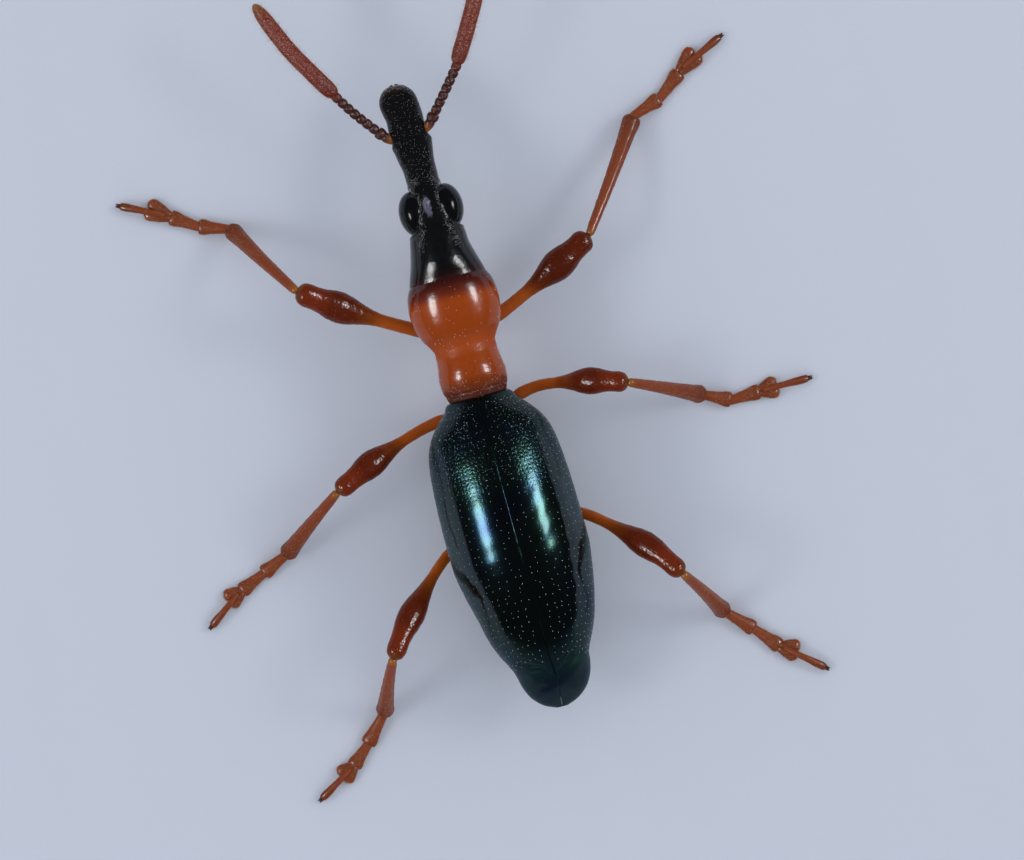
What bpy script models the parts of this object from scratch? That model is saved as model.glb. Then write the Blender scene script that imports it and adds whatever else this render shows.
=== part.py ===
"""Sweet potato weevil, a still life-size model of the whole standing animal.

Every size below is in millimetres and is turned into metres where a mesh is made.
A place on the animal is (back, right, up): back from the tip of the rostrum, to the
animal's own right, and up from the floor. In the model the head looks along -Y.
"""

import math

import bpy
import bmesh
import numpy as np
from mathutils import Vector

# Units and frame
MM = 0.001
CENTRE_BACK = 2.982
CENTRE_RIGHT = 0.037
GAP = 0.012
OVERLAP = 0.03
FLOOR_DEPTH = 0.5
FLOOR_SIZE = 12.0

# Spine: back, and how far right of a straight line the middle of the body lies
SPINE = (
    (0.000, -0.058), (0.170, -0.050), (0.300, -0.042), (0.440, -0.036), (0.620, -0.020), (0.900, -0.004),
    (1.200, 0.006), (1.400, 0.010), (1.750, -0.004), (2.400, -0.012), (3.400, -0.010), (4.100, -0.006),
    (4.600, 0.000), (5.120, 0.005), (5.410, 0.013), (5.710, 0.022), (6.050, 0.018), (6.250, 0.022),
    (6.420, 0.038), (6.620, 0.037), (6.800, 0.030))

# Body profiles: back, half width, height of the axis, half depth
ROSTRUM = (
    (0.000, 0.085, 0.600, 0.070), (0.025, 0.128, 0.607, 0.095), (0.055, 0.157, 0.615, 0.110),
    (0.090, 0.178, 0.624, 0.121), (0.130, 0.190, 0.636, 0.129), (0.180, 0.194, 0.651, 0.134),
    (0.233, 0.194, 0.668, 0.138), (0.296, 0.192, 0.691, 0.141), (0.360, 0.190, 0.716, 0.142),
    (0.480, 0.200, 0.765, 0.146), (0.560, 0.209, 0.798, 0.152), (0.620, 0.208, 0.822, 0.156),
    (0.730, 0.189, 0.866, 0.159), (0.825, 0.176, 0.900, 0.162), (0.920, 0.169, 0.934, 0.165),
    (1.080, 0.173, 0.985, 0.181))
HEAD = (
    (1.092, 0.176, 0.988, 0.184), (1.200, 0.200, 1.015, 0.214), (1.350, 0.222, 1.040, 0.244),
    (1.500, 0.244, 1.056, 0.276), (1.580, 0.268, 1.060, 0.300), (1.660, 0.288, 1.064, 0.324),
    (1.750, 0.305, 1.066, 0.346), (1.850, 0.330, 1.070, 0.368), (1.920, 0.350, 1.072, 0.380),
    (1.980, 0.370, 1.073, 0.385), (2.040, 0.391, 1.075, 0.380), (2.080, 0.403, 1.076, 0.373),
    (2.120, 0.412, 1.078, 0.368))
PROTHORAX = (
    (2.132, 0.418, 1.079, 0.384), (2.180, 0.445, 1.080, 0.408), (2.230, 0.462, 1.081, 0.416),
    (2.284, 0.474, 1.082, 0.419), (2.390, 0.487, 1.082, 0.414), (2.538, 0.470, 1.080, 0.392),
    (2.675, 0.424, 1.074, 0.360), (2.770, 0.355, 1.068, 0.324), (2.840, 0.322, 1.066, 0.308),
    (2.920, 0.326, 1.070, 0.317), (3.010, 0.338, 1.075, 0.334), (3.100, 0.352, 1.078, 0.347),
    (3.162, 0.358, 1.079, 0.348), (3.230, 0.350, 1.079, 0.337), (3.300, 0.334, 1.079, 0.315),
    (3.352, 0.316, 1.079, 0.294), (3.395, 0.306, 1.079, 0.278))

# Hind body: back, half width, height of the widest line, height of the top, height of the belly
HIND_BODY = (
    (3.407, 0.345, 1.000, 1.345, 0.690), (3.490, 0.395, 0.990, 1.410, 0.610),
    (3.638, 0.531, 0.978, 1.490, 0.515), (3.786, 0.630, 0.970, 1.550, 0.455),
    (3.934, 0.680, 0.963, 1.598, 0.425), (4.082, 0.703, 0.957, 1.633, 0.407),
    (4.350, 0.724, 0.950, 1.675, 0.393), (4.600, 0.735, 0.945, 1.700, 0.386),
    (4.865, 0.739, 0.940, 1.705, 0.390), (5.118, 0.730, 0.930, 1.688, 0.402),
    (5.414, 0.686, 0.912, 1.635, 0.425), (5.710, 0.622, 0.895, 1.540, 0.455),
    (5.922, 0.571, 0.880, 1.440, 0.480), (6.112, 0.499, 0.860, 1.320, 0.505),
    (6.239, 0.439, 0.845, 1.235, 0.520), (6.310, 0.414, 0.833, 1.180, 0.532),
    (6.420, 0.389, 0.815, 1.110, 0.548), (6.500, 0.370, 0.800, 1.050, 0.560),
    (6.620, 0.312, 0.765, 0.945, 0.585), (6.690, 0.255, 0.742, 0.865, 0.605),
    (6.757, 0.165, 0.712, 0.782, 0.632), (6.798, 0.050, 0.690, 0.725, 0.655))
BODY_SQUARENESS = 2.1
EDGE_SHARE = 0.22
BELLY_INSET = 0.965
THORAX_END = 4.930
ABDOMEN_START = 4.942
ABDOMEN_END = 6.690
STERNITE_JOINTS = (5.42, 5.88, 6.06, 6.24)
STERNITE_GROOVE = 0.022

# Eyes: centre and half sizes
EYE_CENTRE = (1.355, 0.190, 1.060)
EYE_HALF = (0.255, 0.160, 0.212)

# Mandibles at the tip of the rostrum
MANDIBLE_ROOT = (0.050, 0.040, 0.605)
MANDIBLE_TIP = (-0.018, 0.013, 0.585)
MANDIBLE_BOW = 0.010
MANDIBLE_HALF_WIDTHS = ((0.0, 0.027, 0.023), (0.6, 0.023, 0.018), (1.0, 0.008, 0.008))

# Antennae, each from its socket in the rostrum to its tip
SCAPE = {"right": ((0.565, 0.095, 0.790), (0.512, 0.182, 0.802), (0.456, 0.241, 0.811)),
         "left": ((0.600, -0.135, 0.795), (0.545, -0.222, 0.804), (0.491, -0.281, 0.811))}
SCAPE_HALF = ((0.0, 0.034, 0.034), (0.35, 0.040, 0.040), (0.8, 0.052, 0.052), (1.0, 0.046, 0.046))
FUNICLE = {"right": ((0.445, 0.250, 0.812), (0.175, 0.478, 0.880), (-0.050, 0.660, 0.925)),
           "left": ((0.480, -0.290, 0.812), (0.198, -0.512, 0.880), (-0.048, -0.674, 0.925))}
FUNICLE_BEADS = 8
FUNICLE_FIRST_HALF = 0.066
FUNICLE_HALF = 0.054
FUNICLE_NECK_SHARE = 0.72
FUNICLE_TAPER = 4.0
BEAD_POWER = 0.7
FUNICLE_RINGS_PER_BEAD = 3
CLUB = {"right": ((-0.062, 0.660, 0.927), (-0.343, 0.830, 0.962), (-0.683, 1.018, 0.985),
                  (-1.205, 1.262, 0.985)),
        "left": ((-0.060, -0.675, 0.927), (-0.330, -0.842, 0.962), (-0.680, -1.040, 0.985),
                 (-1.200, -1.262, 0.985))}
CLUB_HALF = (
    (0.000, 0.046), (0.035, 0.075), (0.120, 0.085), (0.450, 0.085), (0.800, 0.081), (0.920, 0.067),
    (0.975, 0.044), (1.000, 0.018))

# Legs: hip and knee places, then the ankle, the ends of two tarsal joints, the lobes and the claws
LEGS = {
    "front_right": (
        (2.640, 0.172, 0.690), (2.590, 0.479, 0.640), (2.285, 1.119, 0.650), (2.044, 1.558, 0.640),
        (0.939, 2.330), (0.792, 2.656), (0.610, 2.948), (0.412, 3.164), (0.336, 3.440)),
    "front_left": (
        (2.640, -0.172, 0.690), (2.540, -0.497, 0.680), (2.198, -1.080, 0.860), (1.848, -1.586, 1.080),
        (1.038, -2.103), (0.940, -2.404), (0.706, -2.690), (0.571, -2.928), (0.468, -3.208)),
    "middle_right": (
        (3.520, 0.215, 0.500), (3.452, 0.673, 0.560), (3.535, 1.161, 0.840), (3.655, 1.572, 1.000),
        (3.986, 2.310), (4.120, 2.606), (4.120, 2.892), (4.090, 3.112), (4.100, 3.425)),
    "middle_left": (
        (3.520, -0.215, 0.500), (3.600, -0.710, 0.540), (3.796, -1.237, 0.740), (4.037, -1.731, 0.880),
        (4.551, -2.410), (4.658, -2.683), (4.762, -2.955), (4.864, -3.139), (5.052, -3.367)),
    "hind_right": (
        (4.790, 0.275, 0.455), (4.895, 0.780, 0.505), (5.380, 1.325, 0.930), (5.760, 1.616, 1.130),
        (6.226, 1.928), (6.549, 2.185), (6.758, 2.408), (6.905, 2.620), (7.120, 2.842)),
    "hind_left": (
        (4.790, -0.275, 0.455), (4.965, -0.765, 0.505), (5.480, -1.290, 0.930), (5.873, -1.580, 1.130),
        (6.389, -1.812), (6.692, -2.095), (6.880, -2.305), (6.976, -2.465), (7.130, -2.690)),
}
COXA_RADIUS = 0.155
FEMUR_WIDEST = {"front": 0.168, "middle": 0.145, "hind": 0.142}
FEMUR_DEPTH_SHARE = 0.88
FEMUR_START = 0.10
FEMUR_SHAPE = (
    (0.00, 0.36), (0.06, 0.46), (0.15, 0.41), (0.36, 0.41), (0.46, 0.52), (0.54, 0.71), (0.62, 0.92),
    (0.68, 1.00), (0.74, 0.95), (0.81, 0.80), (0.87, 0.75), (0.92, 0.75), (0.97, 0.66), (1.00, 0.38))
TIBIA_HALF = (
    (0.000, 0.040), (0.060, 0.050), (0.300, 0.054), (0.600, 0.066), (0.850, 0.082), (0.960, 0.094),
    (1.000, 0.078))
TIBIA_BOW = (0.0, 0.008, 0.030)
ANKLE_HEIGHT = 0.120
JOINT_HEIGHTS = (0.100, 0.052, 0.046)
TARSUS_HALF = (
    (0.000, 0.048, 0.042), (0.550, 0.062, 0.050), (0.920, 0.082, 0.056), (1.000, 0.062, 0.036))
LOBE_SPREAD = 0.057
LOBE_REACH = 0.93
LOBE_SPREADS = (0.25, 0.75, 1.15)
LOBE_KNOB = 0.55
LOBE_HALF = (
    (0.000, 0.034, 0.034), (0.350, 0.056, 0.050), (0.750, 0.066, 0.050), (0.950, 0.045, 0.036),
    (1.000, 0.018, 0.016))
CLAW_JOINT_HALF = ((0.0, 0.030, 0.028), (0.5, 0.036, 0.034), (0.93, 0.044, 0.040), (1.0, 0.030, 0.028))
CLAW_JOINT_HEIGHTS = (0.085, 0.105, 0.062)
CLAW_START = 0.25
CLAW_LENGTH = 0.042
CLAW_SPREAD = 0.45
CLAW_BEND = 0.55
CLAW_CURL = 0.3
CLAW_LIFT = 0.004
CLAW_ASIDE = 0.014
CLAW_HALF = ((0.0, 0.016, 0.018), (0.5, 0.012, 0.014), (1.0, 0.004, 0.004))

# Numbers of sides round each form and of rings along it, and how they crowd towards its ends
BODY_SIDES = 24
HEAD_SIDES = 20
ROSTRUM_SIDES = 16
SHELL_SIDES = 13
EYE_SIDES = 14
HIP_SIDES = 10
LEG_SIDES = 9
SMALL_SIDES = 8
FOOT_SIDES = 6
CLAW_SIDES = 4
ROSTRUM_RINGS = 18
HEAD_RINGS = 11
PROTHORAX_RINGS = 22
THORAX_RINGS = 9
ABDOMEN_RINGS = 18
SHELL_RINGS = 25
CLUB_RINGS = 14
SCAPE_RINGS = 7
MANDIBLE_RINGS = 6
FEMUR_RINGS = 17
TIBIA_RINGS = 9
JOINT_RINGS = 5
CLAW_RINGS = 4
END_PULL = 0.35
SHELL_POWER = 0.9
SHELL_PULL = 0.035
FLOOR_COLUMNS = (0.66, 0.33, 0.0)
POLE_SHARE = 0.6
BELLY_START = 0.12
ROOF_STEP = 0.01
SHARP_ANGLE = math.radians(40.0)

# Finishes: colour, roughness, metallic
FINISHES = {
    "black shell": ((0.012, 0.012, 0.014, 1.0), 0.22, 0.0),
    "blue black wing case": ((0.010, 0.018, 0.034, 1.0), 0.20, 0.35),
    "eye": ((0.008, 0.008, 0.009, 1.0), 0.08, 0.0),
    "orange brown shell": ((0.330, 0.070, 0.012, 1.0), 0.20, 0.0),
    "red brown limb": ((0.190, 0.036, 0.010, 1.0), 0.25, 0.0),
    "amber limb": ((0.270, 0.070, 0.016, 1.0), 0.35, 0.0),
    "dark feeler": ((0.060, 0.014, 0.008, 1.0), 0.40, 0.0),
    "dark belly": ((0.020, 0.015, 0.014, 1.0), 0.30, 0.0),
}


def place(back, right, up):
    """The point in the model, in metres, of a place on the animal in millimetres."""
    return np.stack([CENTRE_RIGHT - np.asarray(right), np.asarray(back) - CENTRE_BACK,
                     np.asarray(up) + 0.0 * np.asarray(back)], axis=-1) * MM


def flow(stations, at):
    """Columns of a table of stations at the given places, on cubic curves that don't overshoot."""
    table = np.array(stations, dtype=float)
    x, y = table[:, 0], table[:, 1:]
    step = np.diff(x)
    slope = np.diff(y, axis=0) / step[:, None]
    product = slope[1:] * slope[:-1]
    total = slope[1:] + slope[:-1]
    inner = np.where(product > 0.0, 2.0 * product / np.where(total == 0.0, 1.0, total), 0.0)
    tangent = np.vstack([slope[:1], inner, slope[-1:]])
    at = np.atleast_1d(np.asarray(at, dtype=float))
    i = np.clip(np.searchsorted(x, at, side="right") - 1, 0, len(step) - 1)
    h = step[i][:, None]
    u = ((at - x[i]) / step[i])[:, None]
    return ((1 + 2 * u) * (1 - u) ** 2 * y[i] + u * (1 - u) ** 2 * h * tangent[i]
            + u * u * (3 - 2 * u) * y[i + 1] + u * u * (u - 1) * h * tangent[i + 1])


def spine(back):
    """How far right of a straight line the middle of the body lies, at places along it."""
    return flow(SPINE, np.ravel(back))[:, 0].reshape(np.shape(back))


def curve_through(points, count):
    """Evenly spread points, in millimetres, on a smooth curve through a few places."""
    points = np.array(points, dtype=float)
    reach = np.r_[0.0, np.cumsum(np.linalg.norm(np.diff(points, axis=0), axis=1))]
    ends = np.vstack([2 * points[0] - points[1], points, 2 * points[-1] - points[-2]])
    slope = (ends[2:] - ends[:-2]) / 2.0
    at = np.linspace(0.0, reach[-1], count)
    i = np.clip(np.searchsorted(reach, at, side="right") - 1, 0, len(points) - 2)
    u = ((at - reach[i]) / (reach[i + 1] - reach[i]))[:, None]
    return ((1 + 2 * u) * (1 - u) ** 2 * points[i] + u * (1 - u) ** 2 * slope[i]
            + u * u * (3 - 2 * u) * points[i + 1] + u * u * (u - 1) * slope[i + 1])


def mesh_from_rings(name, rings):
    """A closed mesh through rings of points in metres, with a fan over each end."""
    count, sides = rings.shape[:2]
    work = bmesh.new()
    rows = [[work.verts.new(point) for point in ring] for ring in rings.tolist()]
    for lower, upper in zip(rows[:-1], rows[1:]):
        for k in range(sides):
            after = (k + 1) % sides
            work.faces.new((lower[k], lower[after], upper[after], upper[k]))
    for row, ring in ((rows[0], rings[0]), (rows[count - 1], rings[count - 1])):
        middle = work.verts.new(ring.mean(axis=0).tolist())
        for k in range(sides):
            work.faces.new((row[(k + 1) % sides], row[k], middle))
    bmesh.ops.recalc_face_normals(work, faces=work.faces)
    if work.calc_volume(signed=True) < 0.0:
        bmesh.ops.reverse_faces(work, faces=work.faces)
    mesh = bpy.data.meshes.new(name)
    work.to_mesh(mesh)
    work.free()
    return mesh


def tube(name, path, halves, sides, grow=0.0):
    """A closed tube along a path, its half width and half depth taken from a table of shares."""
    path = np.array(path, dtype=float)
    reach = np.r_[0.0, np.cumsum(np.linalg.norm(np.diff(path, axis=0), axis=1))]
    sizes = flow(halves, reach / reach[-1])
    if sizes.shape[1] == 1:
        sizes = np.repeat(sizes, 2, axis=1)
    sizes = sizes + grow
    ahead = np.gradient(path, axis=0)
    ahead /= np.linalg.norm(ahead, axis=1)[:, None]
    side = np.cross(ahead, (0.0, 0.0, 1.0))
    side /= np.linalg.norm(side, axis=1)[:, None]
    over = np.cross(side, ahead)
    path[0] -= ahead[0] * grow
    path[-1] += ahead[-1] * grow
    turn = np.linspace(0.0, 2.0 * math.pi, sides, endpoint=False) + math.pi / sides
    points = (path[:, None, :]
              + side[:, None, :] * (np.cos(turn)[None, :] * sizes[:, :1])[..., None]
              + over[:, None, :] * (np.sin(turn)[None, :] * sizes[:, 1:2])[..., None])
    return mesh_from_rings(name, place(points[..., 0], points[..., 1], points[..., 2]))


def ball(name, centre, half, sides, grow=0.0):
    """A closed ellipsoid whose poles lie on the animal's left and right."""
    rows = sides // 2
    lift = np.linspace(-0.5, 0.5, rows + 1) * math.pi * (1.0 - POLE_SHARE / rows)
    turn = np.linspace(0.0, 2.0 * math.pi, sides, endpoint=False)
    out = np.cos(lift)[:, None]
    back = centre[0] + (half[0] + grow) * out * np.cos(turn)[None, :]
    up = centre[2] + (half[2] + grow) * out * np.sin(turn)[None, :]
    right = centre[1] + (half[1] + grow) * np.sin(lift)[:, None] + 0.0 * turn[None, :]
    return mesh_from_rings(name, place(back, right, up))


def round_body(name, stations, sides, count):
    """A closed body of elliptic sections along the spine, closer together at its ends."""
    first, last = stations[0][0], stations[-1][0]
    share = (1.0 - np.cos(np.linspace(0.0, math.pi, count))) / 2.0
    even = np.linspace(0.0, 1.0, count)
    back = first + (last - first) * (END_PULL * share + (1.0 - END_PULL) * even)
    sizes = flow(stations, back)
    turn = np.linspace(0.0, 2.0 * math.pi, sides, endpoint=False)
    right = spine(back)[:, None] + sizes[:, :1] * np.cos(turn)[None, :]
    up = sizes[:, 1:2] + sizes[:, 2:3] * np.sin(turn)[None, :]
    return mesh_from_rings(name, place(back[:, None] + 0.0 * right, right, up))


def squared(value):
    """The section's cosine or sine, pushed outwards so that the sides stand fuller."""
    return np.sign(value) * np.abs(value) ** (2.0 / BODY_SQUARENESS)


def elytron(name, side):
    """One wing case: the upper part of the hind body on one side of the seam, down to its lower edge."""
    first, last = HIND_BODY[0][0], HIND_BODY[-1][0]
    share = np.linspace(0.0, 1.0, SHELL_RINGS)
    back = first + (last - first) * (share ** SHELL_POWER + SHELL_PULL * np.sin(2.0 * math.pi * share))
    half, middle, top, belly = flow(HIND_BODY, back).T[:, :, None]
    edge = middle - EDGE_SHARE * (middle - belly)
    turn = np.linspace(math.pi / 2.0, -math.asin(EDGE_SHARE ** (BODY_SQUARENESS / 2.0)), SHELL_SIDES)[None, :]
    outer = np.maximum(half * squared(np.cos(turn)), GAP / 2.0)
    lift = np.where(turn > 0.0, top - middle, middle - belly) * squared(np.sin(turn))
    height = middle + lift
    inner = np.array(FLOOR_COLUMNS)[None, :]
    right = np.concatenate([outer, np.maximum(outer[:, -1:] * inner, GAP / 2.0)], axis=1)
    up = np.concatenate([height, edge + 0.0 * inner], axis=1)
    return mesh_from_rings(name, place(back[:, None] + 0.0 * right, spine(back)[:, None] + side * right, up))


def belly_body(name, first, last, count, joints):
    """The lower part of the hind body under the wing cases, with a shallow groove at each joint."""
    back = np.linspace(first, last, count)
    for joint in joints:
        back[np.argmin(np.abs(back - joint))] = joint
    half, middle, top, belly = flow(HIND_BODY, back).T[:, :, None]
    roof = middle - EDGE_SHARE * (middle - belly) - GAP
    start = math.asin(EDGE_SHARE ** (BODY_SQUARENESS / 2.0)) + BELLY_START
    turn = np.linspace(-start, start - math.pi, SHELL_SIDES + 2)[None, :]
    groove = np.where(np.isin(back, joints), STERNITE_GROOVE, 0.0)[:, None]
    right = (half * BELLY_INSET - groove) * squared(np.cos(turn))
    up = np.minimum(middle + (middle - belly - groove) * squared(np.sin(turn)), roof - ROOF_STEP)
    up[:, 0] = roof[:, 0]
    up[:, -1] = roof[:, 0]
    return mesh_from_rings(name, place(back[:, None] + 0.0 * right, spine(back)[:, None] + right, up))


def funicle_halves():
    """Half widths of a string of beads, thin at every neck, the first bead the fattest."""
    rows = []
    steps = FUNICLE_BEADS * FUNICLE_RINGS_PER_BEAD
    for k in range(steps + 1):
        share = k / steps
        widest = FUNICLE_HALF + (FUNICLE_FIRST_HALF - FUNICLE_HALF) * max(0.0, 1.0 - FUNICLE_TAPER * share)
        round_part = abs(math.sin(math.pi * share * FUNICLE_BEADS)) ** BEAD_POWER
        rows.append((share, widest * (FUNICLE_NECK_SHARE + (1.0 - FUNICLE_NECK_SHARE) * round_part)))
    return rows


def leg_paths(leg):
    """The curves of one leg: femur, tibia, two tarsal joints, lobes and the claw joint."""
    hip, bend, middle, knee, ankle, first, second, lobes, claws = LEGS[leg]
    femur = curve_through((hip, bend, middle, knee), FEMUR_RINGS)
    tibia = curve_through((knee, (*ankle, ANKLE_HEIGHT)), TIBIA_RINGS)
    bow = np.sin(np.linspace(0.0, math.pi, TIBIA_RINGS))[:, None] * TIBIA_BOW
    tibia = tibia + bow * np.array((0.0, np.sign(hip[1]), 1.0))
    first_joint = curve_through(((*ankle, JOINT_HEIGHTS[0]), (*first, JOINT_HEIGHTS[1])), JOINT_RINGS)
    second_joint = curve_through(((*first, JOINT_HEIGHTS[1]), (*second, JOINT_HEIGHTS[2])), JOINT_RINGS)
    return {"femur": femur, "tibia": tibia, "first": first_joint, "second": second_joint,
            "second_end": np.array((*second, JOINT_HEIGHTS[2])),
            "lobes": np.array((*lobes, JOINT_HEIGHTS[2])),
            "claws": np.array((*claws, CLAW_JOINT_HEIGHTS[2]))}


def femur_halves(leg):
    """The femur's half width and half depth along its length."""
    widest = FEMUR_WIDEST[leg.split("_")[0]]
    return [(share, widest * size, widest * size * FEMUR_DEPTH_SHARE) for share, size in FEMUR_SHAPE]


def trimmed(path, share):
    """The path without its first share."""
    start = int(round(share * (len(path) - 1)))
    return path[start:]


def tarsus_pieces(leg, grow=0.0):
    """The closed pieces of one foot: two joints, two lobes, the claw joint and two claws."""
    paths = leg_paths(leg)
    pieces = []
    for key in ("first", "second"):
        path = paths[key].copy()
        path[0] -= (path[1] - path[0]) * (0.0 if key == "first" else 0.5)
        pieces.append(tube(key, path, TARSUS_HALF, FOOT_SIDES, grow))
    start, end, claws = paths["second_end"], paths["lobes"], paths["claws"]
    end = start + (end - start) * LOBE_REACH
    along = (end - start) / np.linalg.norm(end - start)
    across = np.cross(along, (0.0, 0.0, 1.0))
    for side in (-1.0, 1.0):
        root = start - along * OVERLAP + across * side * LOBE_SPREAD * LOBE_SPREADS[0]
        knob = start + (end - start) * LOBE_KNOB + across * side * LOBE_SPREAD * LOBE_SPREADS[1]
        tip = end + across * side * LOBE_SPREAD * LOBE_SPREADS[2]
        shaft = curve_through((root, knob, tip), JOINT_RINGS)
        pieces.append(tube("lobe", shaft, LOBE_HALF, FOOT_SIDES, grow))
    root = start + (end - start) * CLAW_START
    root[2] = CLAW_JOINT_HEIGHTS[0]
    middle = (root + claws) / 2.0
    middle[2] = CLAW_JOINT_HEIGHTS[1]
    shaft = curve_through((root, middle, claws), JOINT_RINGS)
    pieces.append(tube("claw joint", shaft, CLAW_JOINT_HALF, FOOT_SIDES, grow))
    along = claws - middle
    along[2] = 0.0
    along /= np.linalg.norm(along)
    across = np.cross(along, (0.0, 0.0, 1.0))
    for side in (-1.0, 1.0):
        heading = along * math.cos(CLAW_SPREAD) + across * side * math.sin(CLAW_SPREAD)
        root = claws - along * OVERLAP + across * side * CLAW_ASIDE
        bend = claws + heading * CLAW_LENGTH * CLAW_BEND + np.array((0.0, 0.0, CLAW_LIFT))
        tip = claws + (heading + along * CLAW_CURL) * CLAW_LENGTH
        tip[2] = CLAW_ASIDE
        pieces.append(tube("claw", curve_through((root, bend, tip), CLAW_RINGS), CLAW_HALF, CLAW_SIDES, grow))
    return pieces


def floor_block():
    """The block of floor below height zero, which cuts a flat sole on each foot."""
    half = FLOOR_SIZE * MM / 2.0
    mesh = bpy.data.meshes.new("floor block")
    work = bmesh.new()
    bmesh.ops.create_cube(work, size=1.0)
    for corner in work.verts:
        corner.co = Vector((corner.co.x * 2.0 * half, corner.co.y * 2.0 * half,
                            (corner.co.z - 0.5) * FLOOR_DEPTH * MM))
    work.to_mesh(mesh)
    work.free()
    return mesh


def combine(mesh, others, operation):
    """The mesh joined with or cut by other closed meshes, in one exact Boolean."""
    group = bpy.data.collections.new("operands")
    for other in others:
        group.objects.link(bpy.data.objects.new("operand", other))
    solid = bpy.data.objects.new("solid", mesh)
    bpy.context.scene.collection.children.link(group)
    bpy.context.scene.collection.objects.link(solid)
    change = solid.modifiers.new("change", "BOOLEAN")
    change.operation = operation
    change.operand_type = "COLLECTION"
    change.collection = group
    change.solver = "EXACT"
    seen = solid.evaluated_get(bpy.context.evaluated_depsgraph_get())
    result = bpy.data.meshes.new_from_object(seen)
    for operand in list(group.objects):
        bpy.data.objects.remove(operand)
    bpy.data.collections.remove(group)
    bpy.data.objects.remove(solid)
    return largest_surface(result)


def largest_surface(mesh):
    """The mesh with only the largest of its closed surfaces, all in triangles."""
    work = bmesh.new()
    work.from_mesh(mesh)
    bmesh.ops.triangulate(work, faces=work.faces)
    left = set(work.verts)
    islands = []
    while left:
        seed = left.pop()
        island, front = {seed}, [seed]
        while front:
            for edge in front.pop().link_edges:
                for vertex in edge.verts:
                    if vertex in left:
                        left.remove(vertex)
                        island.add(vertex)
                        front.append(vertex)
        islands.append(island)
    keep = max(islands, key=len)
    scraps = [vertex for vertex in work.verts if vertex not in keep]
    bmesh.ops.delete(work, geom=scraps, context="VERTS")
    work.to_mesh(mesh)
    work.free()
    return mesh


def finish(name):
    """The named finish as a material, made once."""
    if name in bpy.data.materials:
        return bpy.data.materials[name]
    colour, roughness, metallic = FINISHES[name]
    material = bpy.data.materials.new(name)
    material.use_nodes = True
    shader = material.node_tree.nodes["Principled BSDF"]
    shader.inputs["Base Color"].default_value = colour
    shader.inputs["Roughness"].default_value = roughness
    shader.inputs["Metallic"].default_value = metallic
    return material


def add_node(name, mesh, finish_name):
    """The mesh as one named part of the model, shaded smooth but for its sharp edges."""
    mesh.name = name
    mesh.materials.clear()
    mesh.materials.append(finish(finish_name))
    mesh.shade_smooth()
    mesh.set_sharp_from_angle(angle=SHARP_ANGLE)
    part = bpy.data.objects.new(name, mesh)
    bpy.context.scene.collection.objects.link(part)
    part.parent = bpy.data.objects["weevil"]


def scape(word, grow=0.0):
    """The first joint of one antenna, sunk in its socket in the rostrum."""
    return tube("scape", curve_through(SCAPE[word], SCAPE_RINGS), SCAPE_HALF, SMALL_SIDES, grow)


def build_antenna(word):
    """One antenna: scape, beaded funicle and long club, end to end."""
    add_node(f"antenna_{word}_scape", scape(word), "amber limb")
    beads = curve_through(FUNICLE[word], FUNICLE_BEADS * FUNICLE_RINGS_PER_BEAD + 1)
    add_node(f"antenna_{word}_funicle", tube("funicle", beads, funicle_halves(), SMALL_SIDES), "dark feeler")
    club = curve_through(CLUB[word], CLUB_RINGS)
    add_node(f"antenna_{word}_club", tube("club", club, CLUB_HALF, LEG_SIDES), "red brown limb")


def mandible(side, grow=0.0):
    """One mandible, a short curved pincer."""
    middle = spine(MANDIBLE_ROOT[0])
    root = (MANDIBLE_ROOT[0], middle + side * MANDIBLE_ROOT[1], MANDIBLE_ROOT[2])
    tip = (MANDIBLE_TIP[0], middle + side * MANDIBLE_TIP[1], MANDIBLE_TIP[2])
    bow = ((root[0] + tip[0]) / 2.0, root[1] + side * MANDIBLE_BOW, (root[2] + tip[2]) / 2.0)
    blade = curve_through((root, bow, tip), MANDIBLE_RINGS)
    return tube("mandible", blade, MANDIBLE_HALF_WIDTHS, SMALL_SIDES, grow)


def eye(side, grow=0.0):
    """One eye, an ellipsoid set in the side of the head."""
    centre = (EYE_CENTRE[0], spine(EYE_CENTRE[0]) + side * EYE_CENTRE[1], EYE_CENTRE[2])
    return ball("eye", centre, EYE_HALF, EYE_SIDES, grow)


def build_head():
    """Rostrum with sockets for antennae and mandibles, head with eye sockets, eyes and mandibles."""
    rostrum = round_body("rostrum", ROSTRUM, ROSTRUM_SIDES, ROSTRUM_RINGS)
    sockets = [scape(word, GAP) for word in SCAPE] + [mandible(side, GAP) for side in (-1, 1)]
    add_node("rostrum", combine(rostrum, sockets, "DIFFERENCE"), "black shell")
    head = round_body("head", HEAD, HEAD_SIDES, HEAD_RINGS)
    add_node("head", combine(head, [eye(side, GAP) for side in (-1, 1)], "DIFFERENCE"), "black shell")
    for side, word in ((-1, "left"), (1, "right")):
        add_node(f"eye_{word}", eye(side), "eye")
        add_node(f"mandible_{word}", mandible(side), "black shell")


def coxa(leg, grow=0.0):
    """The round hip joint of one leg."""
    return ball("coxa", LEGS[leg][0], (COXA_RADIUS,) * 3, HIP_SIDES, grow)


def femur(leg, grow=0.0):
    """The club-shaped thigh of one leg, from inside its hip to the knee."""
    return tube("femur", trimmed(leg_paths(leg)["femur"], FEMUR_START), femur_halves(leg), LEG_SIDES, grow)


def tibia(leg, grow=0.0):
    """The slender shin of one leg, a little bowed."""
    return tube("tibia", leg_paths(leg)["tibia"], TIBIA_HALF, SMALL_SIDES, grow)


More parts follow.
